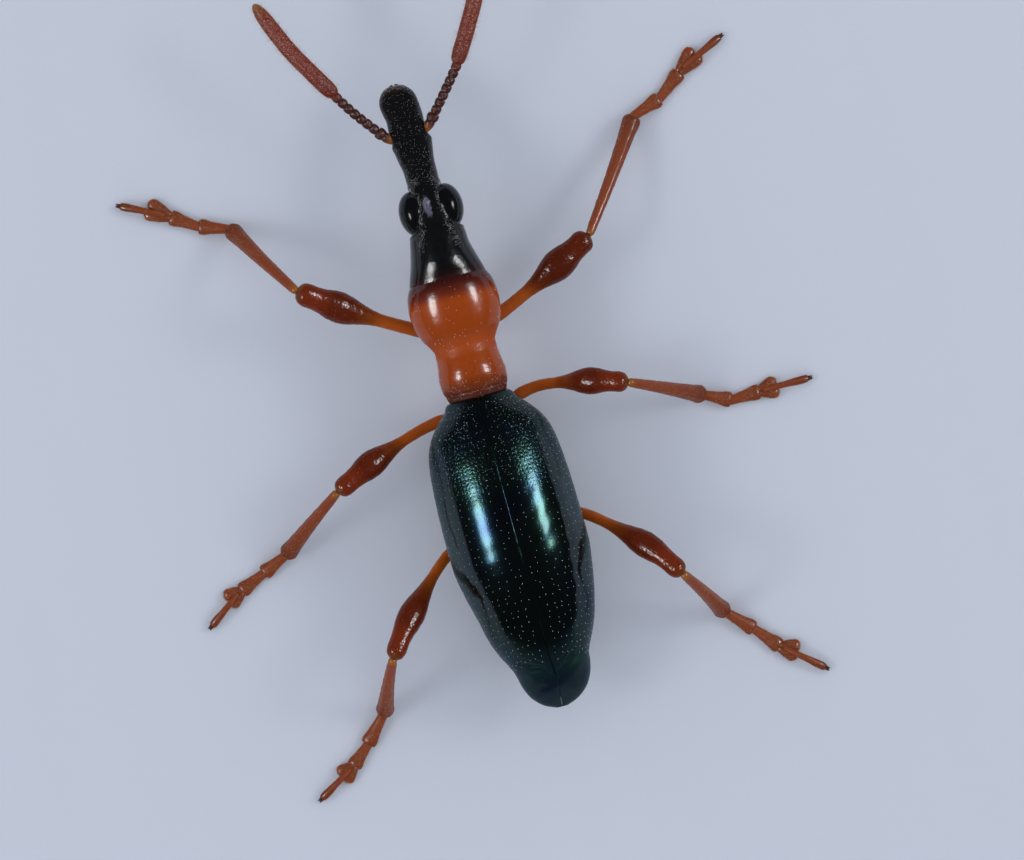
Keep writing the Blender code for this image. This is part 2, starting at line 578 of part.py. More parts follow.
def build_trunk():
    """Prothorax, hind thorax, abdomen and the two wing cases, with sockets for the hips."""
    hips = [coxa(leg, GAP) for leg in LEGS]
    thighs = [femur(leg, GAP) for leg in LEGS]
    front = [mesh for mesh, leg in zip(hips + thighs, list(LEGS) * 2) if leg.startswith("front")]
    rear = [mesh for mesh, leg in zip(hips + thighs, list(LEGS) * 2) if not leg.startswith("front")]
    prothorax = round_body("prothorax", PROTHORAX, BODY_SIDES, PROTHORAX_RINGS)
    add_node("prothorax", combine(prothorax, front, "DIFFERENCE"), "orange brown shell")
    thorax = belly_body("hind thorax", HIND_BODY[0][0], THORAX_END, THORAX_RINGS, ())
    add_node("hind_thorax", combine(thorax, rear, "DIFFERENCE"), "dark belly")
    abdomen = belly_body("abdomen", ABDOMEN_START, ABDOMEN_END, ABDOMEN_RINGS, STERNITE_JOINTS)
    cutters = [coxa(leg, GAP) for leg in LEGS if leg.startswith("hind")]
    cutters += [femur(leg, GAP) for leg in LEGS if leg.startswith("hind")]
    add_node("abdomen", combine(abdomen, cutters, "DIFFERENCE"), "dark belly")
    for side, word in ((-1, "left"), (1, "right")):
        cutters = [femur(leg, GAP) for leg in LEGS if leg.endswith(word) and not leg.startswith("front")]
        add_node(f"elytron_{word}", combine(elytron("elytron", side), cutters, "DIFFERENCE"),
                 "blue black wing case")


def build_leg(leg):
    """Hip, thigh, shin and foot of one leg, each cut clear of the piece that it carries."""
    add_node(f"coxa_{leg}", combine(coxa(leg), [femur(leg, GAP)], "DIFFERENCE"), "red brown limb")
    add_node(f"femur_{leg}", combine(femur(leg), [tibia(leg, GAP)], "DIFFERENCE"), "red brown limb")
    first_joint = tube("first", leg_paths(leg)["first"], TARSUS_HALF, SMALL_SIDES, GAP)
    add_node(f"tibia_{leg}", combine(tibia(leg), [first_joint], "DIFFERENCE"), "amber limb")
    pieces = tarsus_pieces(leg)
    foot = combine(pieces[0], pieces[1:], "UNION")
    add_node(f"tarsus_{leg}", combine(foot, [floor_block()], "DIFFERENCE"), "amber limb")


def main():
    """Clear the scene, then build the whole animal."""
    for old in list(bpy.data.objects):
        bpy.data.objects.remove(old)
    body = bpy.data.objects.new("weevil", None)
    bpy.context.scene.collection.objects.link(body)
    build_head()
    for word in SCAPE:
        build_antenna(word)
    build_trunk()
    for leg in LEGS:
        build_leg(leg)
    bpy.context.view_layer.update()


main()
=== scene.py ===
"""The looks of a still, life-size sweet potato weevil, laid out as a Blender add-on.

Shapes are worked out in millimetres on the animal: back from the tip of the rostrum, to the animal's own
right, and up from the floor. They are turned into metres of the frame where a mesh is made.
"""

import math
from functools import partial

import bpy
import numpy as np
from bpy.props import FloatProperty, FloatVectorProperty, PointerProperty
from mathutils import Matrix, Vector


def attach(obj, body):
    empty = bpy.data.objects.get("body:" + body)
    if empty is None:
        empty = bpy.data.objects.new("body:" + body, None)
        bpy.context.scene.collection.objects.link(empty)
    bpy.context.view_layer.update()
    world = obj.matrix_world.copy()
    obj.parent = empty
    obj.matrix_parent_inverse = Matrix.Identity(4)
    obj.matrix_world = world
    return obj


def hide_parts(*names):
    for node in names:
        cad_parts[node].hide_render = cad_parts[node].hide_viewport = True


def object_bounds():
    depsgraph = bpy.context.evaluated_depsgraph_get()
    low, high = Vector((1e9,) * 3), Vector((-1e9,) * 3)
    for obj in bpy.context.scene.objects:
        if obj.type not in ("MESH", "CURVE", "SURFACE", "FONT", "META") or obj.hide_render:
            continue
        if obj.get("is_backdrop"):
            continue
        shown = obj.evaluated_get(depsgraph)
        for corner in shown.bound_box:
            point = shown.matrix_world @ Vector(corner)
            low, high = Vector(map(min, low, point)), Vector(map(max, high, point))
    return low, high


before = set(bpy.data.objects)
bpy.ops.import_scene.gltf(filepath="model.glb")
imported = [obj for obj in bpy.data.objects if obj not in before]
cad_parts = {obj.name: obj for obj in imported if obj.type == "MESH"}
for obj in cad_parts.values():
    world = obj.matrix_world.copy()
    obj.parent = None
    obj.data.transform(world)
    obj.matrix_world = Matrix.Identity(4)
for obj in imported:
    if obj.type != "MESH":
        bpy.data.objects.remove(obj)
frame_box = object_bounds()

bl_info = {
    "name": "Sweet potato weevil",
    "version": (1, 0, 0),
    "blender": (4, 5, 0),
    "location": "3D View > Sidebar > Weevil",
    "description": "Skins, hair, finishes and stage of a life-size sweet potato weevil",
    "category": "Add Mesh",
}

# Units and the place of the animal in the frame
MM = 0.001
CENTRE_BACK = 2.982
CENTRE_RIGHT = 0.037

# The photograph's frame: its scale, the animal's turn in it, and where its middle falls on the animal
PHOTO_WIDTH = 1024
PIXEL = 0.010575
PHOTO_TURN = math.atan2(0.252, 0.968)
PHOTO_MIDDLE = (3.8355, 0.2475)
FOCUS_HEIGHT = 0.8
CAMERA_HEIGHT = 150.0
SENSOR = 36.0

# Spine: back, and how far right of a straight line the middle of the body lies
SPINE = (
    (0.000, -0.052), (0.170, -0.044), (0.300, -0.030), (0.360, -0.022), (0.440, -0.024), (0.620, -0.014),
    (0.825, -0.010), (0.920, -0.004), (1.080, 0.000), (1.300, 0.006), (1.600, 0.004), (1.780, -0.006),
    (2.000, -0.008), (2.400, -0.012), (3.400, -0.010), (4.100, -0.006), (4.600, 0.000), (5.120, 0.008),
    (5.410, 0.017), (5.710, 0.028), (6.050, 0.023), (6.250, 0.026), (6.420, 0.041), (6.620, 0.038),
    (6.800, 0.030))

# Head capsule: back, half width, height of the axis, half depth
HEAD_CAPSULE = (
    (-0.006, 0.050, 0.597, 0.040), (0.002, 0.088, 0.600, 0.072), (0.010, 0.108, 0.603, 0.084),
    (0.025, 0.128, 0.607, 0.095), (0.055, 0.157, 0.615, 0.110), (0.090, 0.180, 0.624, 0.121),
    (0.130, 0.196, 0.636, 0.129), (0.180, 0.205, 0.651, 0.134), (0.233, 0.206, 0.668, 0.138),
    (0.296, 0.203, 0.691, 0.141), (0.360, 0.198, 0.716, 0.142), (0.480, 0.200, 0.765, 0.146),
    (0.560, 0.210, 0.798, 0.152), (0.620, 0.216, 0.822, 0.156), (0.730, 0.203, 0.866, 0.159),
    (0.825, 0.188, 0.900, 0.162), (0.920, 0.176, 0.934, 0.165), (1.080, 0.173, 0.985, 0.181),
    (1.200, 0.196, 1.015, 0.212), (1.350, 0.214, 1.040, 0.240), (1.500, 0.244, 1.056, 0.272),
    (1.580, 0.276, 1.062, 0.302), (1.660, 0.302, 1.066, 0.328), (1.750, 0.314, 1.068, 0.354),
    (1.850, 0.337, 1.070, 0.378), (1.920, 0.356, 1.073, 0.386), (1.980, 0.374, 1.075, 0.382),
    (2.040, 0.393, 1.076, 0.371), (2.080, 0.404, 1.077, 0.361), (2.120, 0.413, 1.078, 0.354),
    (2.160, 0.400, 1.078, 0.340), (2.185, 0.378, 1.078, 0.318))
EYE_CENTRE = (1.372, 0.180, 1.066)
EYE_HALF = (0.243, 0.165, 0.213)
FACET_PITCH = 0.021
FACET_TURNS = (0.0, 2.094, 4.189)
FACET_HEIGHT = 0.0003
# Brow dimple: its middle back, how far right, its length and width; the head's painted reflection lies in it
# too
BROW_DIMPLE = (1.330, -0.022, 0.105, 0.040)
FEELER_SOCKETS = ((0.555, 0.175, 0.790), (0.590, -0.205, 0.795))

# Prothorax: back, half width, height of the axis, half depth
PROTHORAX = (
    (2.050, 0.345, 1.078, 0.300), (2.078, 0.380, 1.078, 0.335), (2.105, 0.404, 1.078, 0.350),
    (2.132, 0.421, 1.079, 0.368), (2.155, 0.433, 1.079, 0.384), (2.180, 0.446, 1.080, 0.398),
    (2.230, 0.464, 1.080, 0.408), (2.290, 0.476, 1.080, 0.412), (2.390, 0.487, 1.080, 0.408),
    (2.538, 0.472, 1.079, 0.391), (2.675, 0.430, 1.075, 0.362), (2.790, 0.360, 1.069, 0.328),
    (2.865, 0.328, 1.067, 0.310), (2.930, 0.330, 1.069, 0.316), (3.010, 0.338, 1.074, 0.332),
    (3.100, 0.352, 1.078, 0.345), (3.162, 0.361, 1.079, 0.346), (3.230, 0.359, 1.079, 0.335),
    (3.300, 0.347, 1.079, 0.313), (3.352, 0.328, 1.079, 0.294), (3.380, 0.318, 1.079, 0.284),
    (3.400, 0.312, 1.079, 0.278), (3.410, 0.285, 1.079, 0.260))
WAIST_MEMBRANE = (
    (3.360, 0.240, 1.070, 0.240), (3.395, 0.272, 1.066, 0.268), (3.430, 0.288, 1.060, 0.282),
    (3.470, 0.276, 1.050, 0.270), (3.500, 0.220, 1.045, 0.210))

# Hind body: back, half width, height of the widest line, height of the top, height of the belly
HIND_BODY = (
    (3.402, 0.285, 1.005, 1.305, 0.735), (3.411, 0.340, 1.000, 1.343, 0.690),
    (3.490, 0.395, 0.990, 1.410, 0.610), (3.638, 0.531, 0.978, 1.490, 0.515),
    (3.786, 0.630, 0.970, 1.550, 0.455), (3.934, 0.680, 0.963, 1.598, 0.425),
    (4.082, 0.703, 0.957, 1.633, 0.407), (4.350, 0.724, 0.950, 1.675, 0.393),
    (4.600, 0.735, 0.945, 1.700, 0.386), (4.865, 0.739, 0.940, 1.705, 0.390),
    (5.118, 0.738, 0.930, 1.688, 0.402), (5.414, 0.698, 0.912, 1.635, 0.425),
    (5.710, 0.634, 0.895, 1.540, 0.455), (5.922, 0.583, 0.880, 1.440, 0.480),
    (6.112, 0.511, 0.860, 1.320, 0.505), (6.239, 0.446, 0.845, 1.235, 0.520),
    (6.310, 0.420, 0.833, 1.180, 0.532), (6.420, 0.392, 0.815, 1.110, 0.548),
    (6.500, 0.372, 0.800, 1.050, 0.560), (6.620, 0.316, 0.765, 0.945, 0.585),
    (6.690, 0.258, 0.742, 0.865, 0.605), (6.757, 0.168, 0.712, 0.782, 0.632),
    (6.800, 0.060, 0.690, 0.725, 0.655))
BODY_SQUARENESS = 2.1
EDGE_SHARE = 0.22
BELLY_INSET = 0.965
BELLY_START = 0.06
BELLY_COLUMNS = 150
ROOF_GAP = 0.006
ROOF_STEP = 0.004
THORAX_END = 4.930
ABDOMEN = (4.915, 6.700)
STERNITE_JOINTS = (5.42, 5.88, 6.06, 6.24)

# Antennae
SCAPE = {"right": ((0.575, 0.078, 0.788), (0.512, 0.182, 0.802), (0.448, 0.248, 0.812)),
         "left": ((0.612, -0.116, 0.793), (0.545, -0.222, 0.804), (0.483, -0.288, 0.812))}
SCAPE_HALF = ((0.0, 0.030, 0.030), (0.10, 0.036, 0.036), (0.45, 0.042, 0.042), (0.8, 0.054, 0.054),
              (0.94, 0.050, 0.050), (1.0, 0.030, 0.030))
FUNICLE = {"right": ((0.455, 0.241, 0.810), (0.175, 0.478, 0.880), (-0.060, 0.668, 0.928)),
           "left": ((0.490, -0.282, 0.810), (0.198, -0.512, 0.880), (-0.058, -0.681, 0.928))}
FUNICLE_BEADS = 8
FUNICLE_HALF = 0.054
FIRST_BEAD_HALF = 0.066
NECK_SHARE = 0.76
CLUB = {"right": ((-0.052, 0.655, 0.926), (-0.343, 0.830, 0.962), (-0.683, 1.018, 0.985),
                  (-1.207, 1.263, 0.985)),
        "left": ((-0.050, -0.669, 0.926), (-0.330, -0.842, 0.962), (-0.680, -1.040, 0.985),
                 (-1.202, -1.263, 0.985))}
CLUB_HALF = (
    (0.000, 0.030), (0.012, 0.055), (0.040, 0.075), (0.120, 0.085), (0.450, 0.085), (0.800, 0.081),
    (0.900, 0.070), (0.960, 0.051), (0.990, 0.027), (1.000, 0.010))

# Mouthparts at the tip of the rostrum
MANDIBLE_ROOT = (0.060, 0.040, 0.605)
MANDIBLE_TIP = (-0.020, 0.012, 0.585)
MANDIBLE_BOW = 0.010
MANDIBLE_HALF = ((0.0, 0.024, 0.020), (0.3, 0.027, 0.023), (0.65, 0.022, 0.018), (0.92, 0.011, 0.010),
                 (1.0, 0.004, 0.004))

# Legs: hip, two places along the thigh, the knee, then the ankle, two joint ends, the lobes and the claws
LEGS = {
    "front_right": (
        (2.640, 0.172, 0.690), (2.590, 0.479, 0.640), (2.285, 1.119, 0.650), (2.044, 1.558, 0.640),
        (0.934, 2.331), (0.821, 2.652), (0.600, 2.928), (0.428, 3.175), (0.345, 3.440)),
    "front_left": (
        (2.640, -0.172, 0.690), (2.540, -0.497, 0.680), (2.198, -1.080, 0.860), (1.848, -1.586, 1.080),
        (1.020, -2.107), (0.904, -2.436), (0.728, -2.703), (0.560, -2.936), (0.484, -3.190)),
    "middle_right": (
        (3.520, 0.215, 0.500), (3.452, 0.673, 0.560), (3.535, 1.161, 0.840), (3.655, 1.563, 1.000),
        (3.979, 2.295), (4.115, 2.586), (4.099, 2.900), (4.090, 3.112), (4.094, 3.440)),
    "middle_left": (
        (3.520, -0.215, 0.500), (3.600, -0.710, 0.540), (3.786, -1.227, 0.740), (4.010, -1.708, 0.880),
        (4.510, -2.399), (4.647, -2.695), (4.771, -2.972), (4.847, -3.149), (5.052, -3.367)),
    "hind_right": (
        (4.790, 0.275, 0.455), (4.895, 0.780, 0.505), (5.380, 1.325, 0.930), (5.760, 1.616, 1.130),
        (6.261, 1.938), (6.533, 2.208), (6.783, 2.428), (6.889, 2.616), (7.120, 2.842)),
    "hind_left": (
        (4.790, -0.275, 0.455), (4.965, -0.765, 0.505), (5.480, -1.290, 0.930), (5.863, -1.580, 1.130),
        (6.389, -1.812), (6.688, -2.081), (6.873, -2.285), (6.962, -2.445), (7.120, -2.696)),
}
HIP_RADIUS = 0.155
THIGH_START = 0.25
THIGH_WIDEST = {"front": 0.168, "middle": 0.145, "hind": 0.142}
THIGH_DEPTH_SHARE = 0.88
THIGH_SHAPE = (
    (0.000, 0.200), (0.030, 0.360), (0.090, 0.460), (0.200, 0.420), (0.380, 0.410), (0.460, 0.500),
    (0.540, 0.700), (0.620, 0.920), (0.680, 1.000), (0.740, 0.950), (0.810, 0.800), (0.870, 0.750),
    (0.920, 0.760), (0.960, 0.680), (0.985, 0.460), (1.000, 0.140))
SHIN_HALF = (
    (0.000, 0.026), (0.020, 0.044), (0.080, 0.051), (0.300, 0.058), (0.600, 0.071), (0.850, 0.085),
    (0.960, 0.096), (0.985, 0.083), (1.000, 0.040))
SHIN_BOW = (0.0, 0.008, 0.030)
ANKLE_HEIGHT = 0.120
JOINT_HEIGHTS = (0.100, 0.052, 0.046)
FOOT_JOINT_HALF = (
    (0.000, 0.022, 0.024), (0.050, 0.046, 0.040), (0.300, 0.054, 0.045), (0.600, 0.065, 0.051),
    (0.880, 0.083, 0.055), (0.960, 0.076, 0.047), (1.000, 0.040, 0.026))
LOBE_SPREAD = 0.057
LOBE_REACH = 0.93
LOBE_HALF = (
    (0.000, 0.026, 0.028), (0.200, 0.043, 0.044), (0.500, 0.060, 0.050), (0.780, 0.066, 0.048),
    (0.930, 0.049, 0.036), (1.000, 0.014, 0.012))
CLAW_JOINT_HALF = ((0.0, 0.026, 0.024), (0.2, 0.031, 0.029), (0.5, 0.035, 0.033), (0.85, 0.043, 0.040),
                   (0.96, 0.038, 0.034), (1.0, 0.018, 0.016))
CLAW_JOINT_HEIGHTS = (0.085, 0.105, 0.062)
CLAW_LENGTH = 0.038
CLAW_SPREAD = 0.45
JOINT_OVERLAPS = (0.06, 0.14)
LOBE_SPREAD_SHARES = (0.22, 0.72, 1.2)
LOBE_KNOB = 0.5
LOBE_OVERLAP = 0.035
CLAW_START = 0.22
CLAW_OVERLAP = 0.030
CLAW_ASIDE = 0.014
CLAW_BEND = 0.55
CLAW_CURL = 0.3
CLAW_LIFT = 0.006
CLAW_TIP_HEIGHT = 0.008
CLAW_HALF = ((0.0, 0.015, 0.018), (0.3, 0.014, 0.016), (0.7, 0.008, 0.009), (1.0, 0.002, 0.002))
SOLE_CLEARANCE = 0.0008

# Rings and sides of each kind of grid
MESH = {"head": (380, 240), "eye": (90, 120), "mandible": (40, 28), "prothorax": (250, 190),
        "membrane": (40, 96), "scape": (40, 32), "bead": (22, 32), "club": (180, 60), "hip": (48, 56),
        "thigh": (200, 96), "shin": (90, 40), "joint": (44, 32), "lobe": (40, 30), "claw_joint": (44, 24),
        "claw": (22, 12)}
SHELL_RINGS = 480
THORAX_RINGS = 130
ABDOMEN_RINGS = 170

# Wing cases: columns of the grid, the seam between them, and the lattices of punctures and white specks
SHELL_COLUMNS = 186
EDGE_COLUMNS = 8
UNDER_COLUMNS = 14
SEAM_TURN = 0.002
SEAM_GAP = 0.0012
SEAM_RIDGE = (4.38, 5.00)
EDGE_LINE = 0.93
FOLD_BACK = 6.42
FOLD_SLANT = 0.62
FOLDS = ((0.0, 1.0), (-0.060, 0.55), (0.062, 0.40))
PIT_ROWS = (0.047, 30)
PIT_JITTER = (0.40, 0.26)
PIT_SEED = 41
DOT_ROWS = (0.084, 15)
DOT_JITTER = (0.55, 0.5)

# Hair: a hair's patch on the unwrap, the part of each tile that patches may use, and the size of white specks
HAIR_PATCH = 0.0014
TILE_PART = 0.94
TILE_MARGIN = 0.03
SPECK_LENGTH = 0.46
SPECK_THICKNESS = 2.9

# Light that wanders under the skin: how deep, and how far its red, green and blue go
SCATTER_DEPTH = 0.00006
SCATTER_REACH = (1.0, 0.35, 0.12)

# Stage: each lamp is a side, an angle from upright and a place along the animal
FLOOR_DROP = 0.002
LAMP_WIDTH_SHARE = 0.62
LAMPS = (("left", -1.0, math.radians(47.0), -0.02), ("right", 1.0, math.radians(50.0), 0.03))
LAMP_COLOUR = (0.97, 0.985, 1.0)
SKY_COLOUR = (0.86, 0.91, 1.0, 1.0)
CLIP_START_SHARE = 0.1
CLIP_END = 10.0

# Sides of the animal, as signs of the way to its right
SIDES = ((-1.0, "left"), (1.0, "right"))
PANEL_TAB = "Weevil"

# Kinds of property that the panel offers
Length = partial(FloatProperty, min=0.0, unit="LENGTH")
FineLength = partial(Length, precision=7)
Amount = partial(FloatProperty, min=0.0)
Colour = partial(FloatVectorProperty, subtype="COLOR")

# Materials and grids by name, filled while the pieces are built
LOOKS = {}
GRIDS = {}


def place(points):
    """Points of the frame in metres: X is the middle less right, Y is back less the middle, Z is up."""
    points = np.asarray(points, dtype=float)
    return np.stack([CENTRE_RIGHT - points[..., 1], points[..., 0] - CENTRE_BACK, points[..., 2]],
                    axis=-1) * MM


def cubic(u, start, end, start_slope, end_slope):
    """The cubic Hermite curve between two places with the slopes given there, u running from 0 to 1."""
    return ((1 + 2 * u) * (1 - u) ** 2 * start + u * (1 - u) ** 2 * start_slope
            + u * u * (3 - 2 * u) * end + u * u * (u - 1) * end_slope)


def flow(stations, at):
    """Columns of a table at the given places: cubic Hermite curves whose slopes are harmonic means."""
    table = np.array(stations, dtype=float)
    x, y = table[:, 0], table[:, 1:]
    step = np.diff(x)
    slope = np.diff(y, axis=0) / step[:, None]
    product = slope[1:] * slope[:-1]
    total = slope[1:] + slope[:-1]
    inner = np.where(product > 0.0, 2.0 * product / np.where(total == 0.0, 1.0, total), 0.0)
    tangent = np.vstack([slope[:1], inner, slope[-1:]])
    at = np.atleast_1d(np.asarray(at, dtype=float))
    i = np.clip(np.searchsorted(x, at, side="right") - 1, 0, len(step) - 1)
    h = step[i][:, None]
    u = ((at - x[i]) / step[i])[:, None]
    return cubic(u, y[i], y[i + 1], h * tangent[i], h * tangent[i + 1])


def spine(back):
    """How far right of a straight line the middle of the body lies, at places along it."""
    return flow(SPINE, np.ravel(back))[:, 0].reshape(np.shape(back))


def path_at(points, share):
    """Places at shares of a path's length, on cubics with half the step between neighbours as slope."""
    points = np.array(points, dtype=float)
    reach = np.r_[0.0, np.cumsum(np.linalg.norm(np.diff(points, axis=0), axis=1))]
    ends = np.vstack([2 * points[0] - points[1], points, 2 * points[-1] - points[-2]])
    slope = (ends[2:] - ends[:-2]) / 2.0
    at = np.asarray(share) * reach[-1]
    i = np.clip(np.searchsorted(reach, at, side="right") - 1, 0, len(points) - 2)
    u = ((at - reach[i]) / (reach[i + 1] - reach[i]))[:, None]
    return cubic(u, points[i], points[i + 1], slope[i], slope[i + 1])


def crowded(count, pull=0.6):
    """Shares from 0 to 1, closer together at both ends: a blend of an even row and half a cosine wave."""
    even = np.linspace(0.0, 1.0, count)
    return (1.0 - pull) * even + pull * (1.0 - np.cos(math.pi * even)) / 2.0


def smooth_step(low, high, value):
    """0 below low, 1 above high, and 3t^2 - 2t^3 between them."""
    t = np.clip((value - low) / (high - low), 0.0, 1.0)
    return t * t * (3.0 - 2.0 * t)


def hill(value, middle, width):
    """A bell of height 1, exp(-((value - middle) / width)^2)."""
    return np.exp(-((value - middle) / width) ** 2)


def squared(value):
    """A cosine or sine pushed outwards, so that the section is a superellipse."""
    return np.sign(value) * np.abs(value) ** (2.0 / BODY_SQUARENESS)


def turned(sides):
    """Angles once round a section, from its underside."""
    return np.linspace(0.0, 2.0 * math.pi, sides, endpoint=False) - math.pi / 2.0


def square_rings(back, right, up):
    """Rings square to the back: a place along it for each ring, then right and up of each point."""
    return np.stack([back[:, None] + 0.0 * right, right, up], axis=-1)


def body_grid(stations, rings, sides):
    """Elliptic sections: right = spine + half width x cosine, up = axis + half depth x sine."""
    first, last = stations[0][0], stations[-1][0]
    back = first + (last - first) * crowded(rings, 0.35)
    sizes = flow(stations, back)
    turn = turned(sides)[None, :]
    right = spine(back)[:, None] + sizes[:, :1] * np.cos(turn)
    up = sizes[:, 1:2] + sizes[:, 2:3] * np.sin(turn)
    return square_rings(back, right, up)


def limb_grid(points, halves, rings, sides, pull=0.6):
    """A tube: a profile of half widths and half depths carried along a path, square to it."""
    share = crowded(rings, pull)
    path = path_at(points, share)
    sizes = flow(halves, share)
    if sizes.shape[1] == 1:
        sizes = np.repeat(sizes, 2, axis=1)
    ahead = np.gradient(path, axis=0)
    ahead /= np.linalg.norm(ahead, axis=1)[:, None]
    side = np.cross(ahead, (0.0, 0.0, 1.0))
    side /= np.linalg.norm(side, axis=1)[:, None]
    over = np.cross(side, ahead)
    turn = turned(sides)
    return (path[:, None, :] + side[:, None, :] * (np.cos(turn)[None, :] * sizes[:, :1])[..., None]
            + over[:, None, :] * (np.sin(turn)[None, :] * sizes[:, 1:2])[..., None])


def ball_grid(centre, half, rings, sides):
    """An ellipsoid with poles left and right: right is the sine of the latitude, the rest its cosine."""
    lift = np.linspace(-0.5, 0.5, rings)[:, None] * math.pi * (1.0 - 0.5 / rings)
    turn = turned(sides)[None, :]
    back = centre[0] + half[0] * np.cos(lift) * np.cos(turn)
    up = centre[2] + half[2] * np.cos(lift) * np.sin(turn)
    right = centre[1] + half[1] * np.sin(lift) + 0.0 * turn
    return np.stack([back, right, up], axis=-1)


def outward(grid):
    """Unit normals of a closed grid: its two slopes' cross product, away from each section's middle."""
    along = np.gradient(grid, axis=0)
    around = np.roll(grid, -1, axis=1) - np.roll(grid, 1, axis=1)
    normal = np.cross(along, around)
    normal /= np.maximum(np.linalg.norm(normal, axis=-1), 1e-12)[..., None]
    middle = grid.mean(axis=1, keepdims=True)
    facing = np.sum(normal * (grid - middle), axis=-1).mean()
    return normal if facing > 0.0 else -normal


def raised(grid, amount):
    """The grid moved out along its normals by an amount for each point."""
    return grid + outward(grid) * amount[..., None]


def lattice_noise(row, column, seed):
    """A number from 0 to 1 for each cell of a lattice: the fraction of a large sine."""
    value = np.sin(row * 127.1 + column * 311.7 + seed * 74.7) * 43758.5453
    return value - np.floor(value)


def lengths_along(grid):
    """The distance along the middle of a grid from its first ring, one for each ring."""
    middle = grid.mean(axis=1)
    return np.r_[0.0, np.cumsum(np.linalg.norm(np.diff(middle, axis=0), axis=1))][:, None]


def pits(grid, spacing, around, radius, chance=1.0, jitter=(0.7, 0.7), seed=1):
    """Depth from 0 to 1 of round pits, one in each cell of a lattice on the grid: bowls (1 - d^2)^1.5."""
    sides = grid.shape[1]
    width = np.linalg.norm(np.roll(grid, -1, axis=1) - grid, axis=-1) * sides / around
    along = lengths_along(grid) + 0.0 * width
    across = np.arange(sides)[None, :] / sides * around + 0.0 * width
    row, column = np.floor(along / spacing), np.floor(across)
    depth = np.zeros(width.shape)
    for row_step in (-1, 0, 1):
        for column_step in (-1, 0, 1):
            a, b = row + row_step, column + column_step
            cell = np.mod(b, around)
            pit_along = (a + 0.5 + jitter[0] * (lattice_noise(a, cell, seed) - 0.5)) * spacing
            pit_across = b + 0.5 + jitter[1] * (lattice_noise(a, cell, seed + 1) - 0.5)
            distance = ((along - pit_along) ** 2 + ((across - pit_across) * width) ** 2) / radius ** 2
            there = lattice_noise(a, cell, seed + 2) < chance
            depth = np.maximum(depth, there * np.clip(1.0 - distance, 0.0, 1.0) ** 1.5)
    return depth


def pit_places(grid, spacing, around, jitter, seed):
    """The nearest ring and column to the middle of each pit that is made with the same numbers."""
    along = lengths_along(grid)[:, 0]
    row, column = np.meshgrid(np.arange(int(along[-1] / spacing)), np.arange(around), indexing="ij")
    at = (row + 0.5 + jitter[0] * (lattice_noise(row, column, seed) - 0.5)) * spacing
    ring = np.interp(at, along, np.arange(len(along)))
    side = (column + 0.5 + jitter[1] * (lattice_noise(row, column, seed + 1) - 0.5)) * grid.shape[1] / around
    return np.rint(ring).astype(int).ravel(), np.rint(side).astype(int).ravel() % grid.shape[1]


def waves(grid, lengths, seed):
    """Slow unevenness from -1 to 1: the mean of sine waves of a few lengths that run in seeded directions."""
    rng = np.random.default_rng(seed)
    total = np.zeros(grid.shape[:2])
    for length in lengths:
        heading = rng.normal(size=3)
        heading /= np.linalg.norm(heading)
        total += np.sin(2.0 * math.pi * (grid @ heading) / length + rng.uniform(0.0, 6.28))
    return total / len(lengths)


def closed_mesh(name, grids, marks=None):
    """One mesh of closed grids: quads between rings and a fan to the middle of each end, faces outward.

    marks holds a number for each point of each grid, kept as the attribute that the materials read.
    """
    points, loops, sizes, values, start = [], [], [], [], 0
    for k, grid in enumerate(grids):
        rings, sides = grid.shape[:2]
        here = np.concatenate([grid.reshape(-1, 3), grid[[0, -1]].mean(axis=1)])
        i, j = np.arange(rings - 1)[:, None], np.arange(sides)[None, :]
        after = (j + 1) % sides
        quads = np.stack([i * sides + j, i * sides + after, (i + 1) * sides + after, (i + 1) * sides + j],
                         axis=-1)
        last = (rings - 1) * sides
        near = np.stack([after[0], j[0], np.full(sides, rings * sides)], axis=-1)
        far = np.stack([last + j[0], last + after[0], np.full(sides, rings * sides + 1)], axis=-1)
        quads, fans = quads.reshape(-1, 4), np.concatenate([near, far])
        placed = place(here)
        tips, body = placed[fans] / MM, placed[quads] / MM
        volume = sum(np.einsum("ij,ij->i", part[:, 0], np.cross(part[:, a], part[:, b])).sum()
                     for part, a, b in ((tips, 1, 2), (body, 1, 2), (body, 2, 3)))
        if volume < 0.0:
            quads, fans = quads[:, ::-1], fans[:, ::-1]
        points.append(placed)
        loops += [quads.reshape(-1) + start, fans.reshape(-1) + start]
        sizes += [np.full(len(quads), 4), np.full(len(fans), 3)]
        if marks is not None:
            flat = marks[k].reshape(-1)
            values.append(np.r_[flat, flat[:sides].mean(), flat[-sides:].mean()])
        start += len(here)
    return mesh_of(name, np.concatenate(points), np.concatenate(loops), np.concatenate(sizes),
                   np.concatenate(values) if values else None)


def mesh_of(name, points, loops, sizes, values=None):
    """A smooth mesh from points in metres, the corners of all faces in a row, and the size of each face."""
    mesh = bpy.data.meshes.new(name)
    mesh.vertices.add(len(points))
    mesh.vertices.foreach_set("co", points.astype(np.float32).reshape(-1))
    mesh.loops.add(len(loops))
    mesh.loops.foreach_set("vertex_index", loops.astype(np.int32))
    mesh.polygons.add(len(sizes))
    mesh.polygons.foreach_set("loop_start", np.r_[0, np.cumsum(sizes)[:-1]].astype(np.int32))
    if values is not None:
        mesh.attributes.new("mark", "FLOAT", "POINT").data.foreach_set("value", values.astype(np.float32))
    mesh.update(calc_edges=True)
    if mesh.validate():
        raise RuntimeError(f"{name} had a broken face")
    mesh.shade_smooth()
    return mesh


def linked(name, data):
    """A new object in the scene's collection."""
    item = bpy.data.objects.new(name, data)
    bpy.context.scene.collection.objects.link(item)
    return item


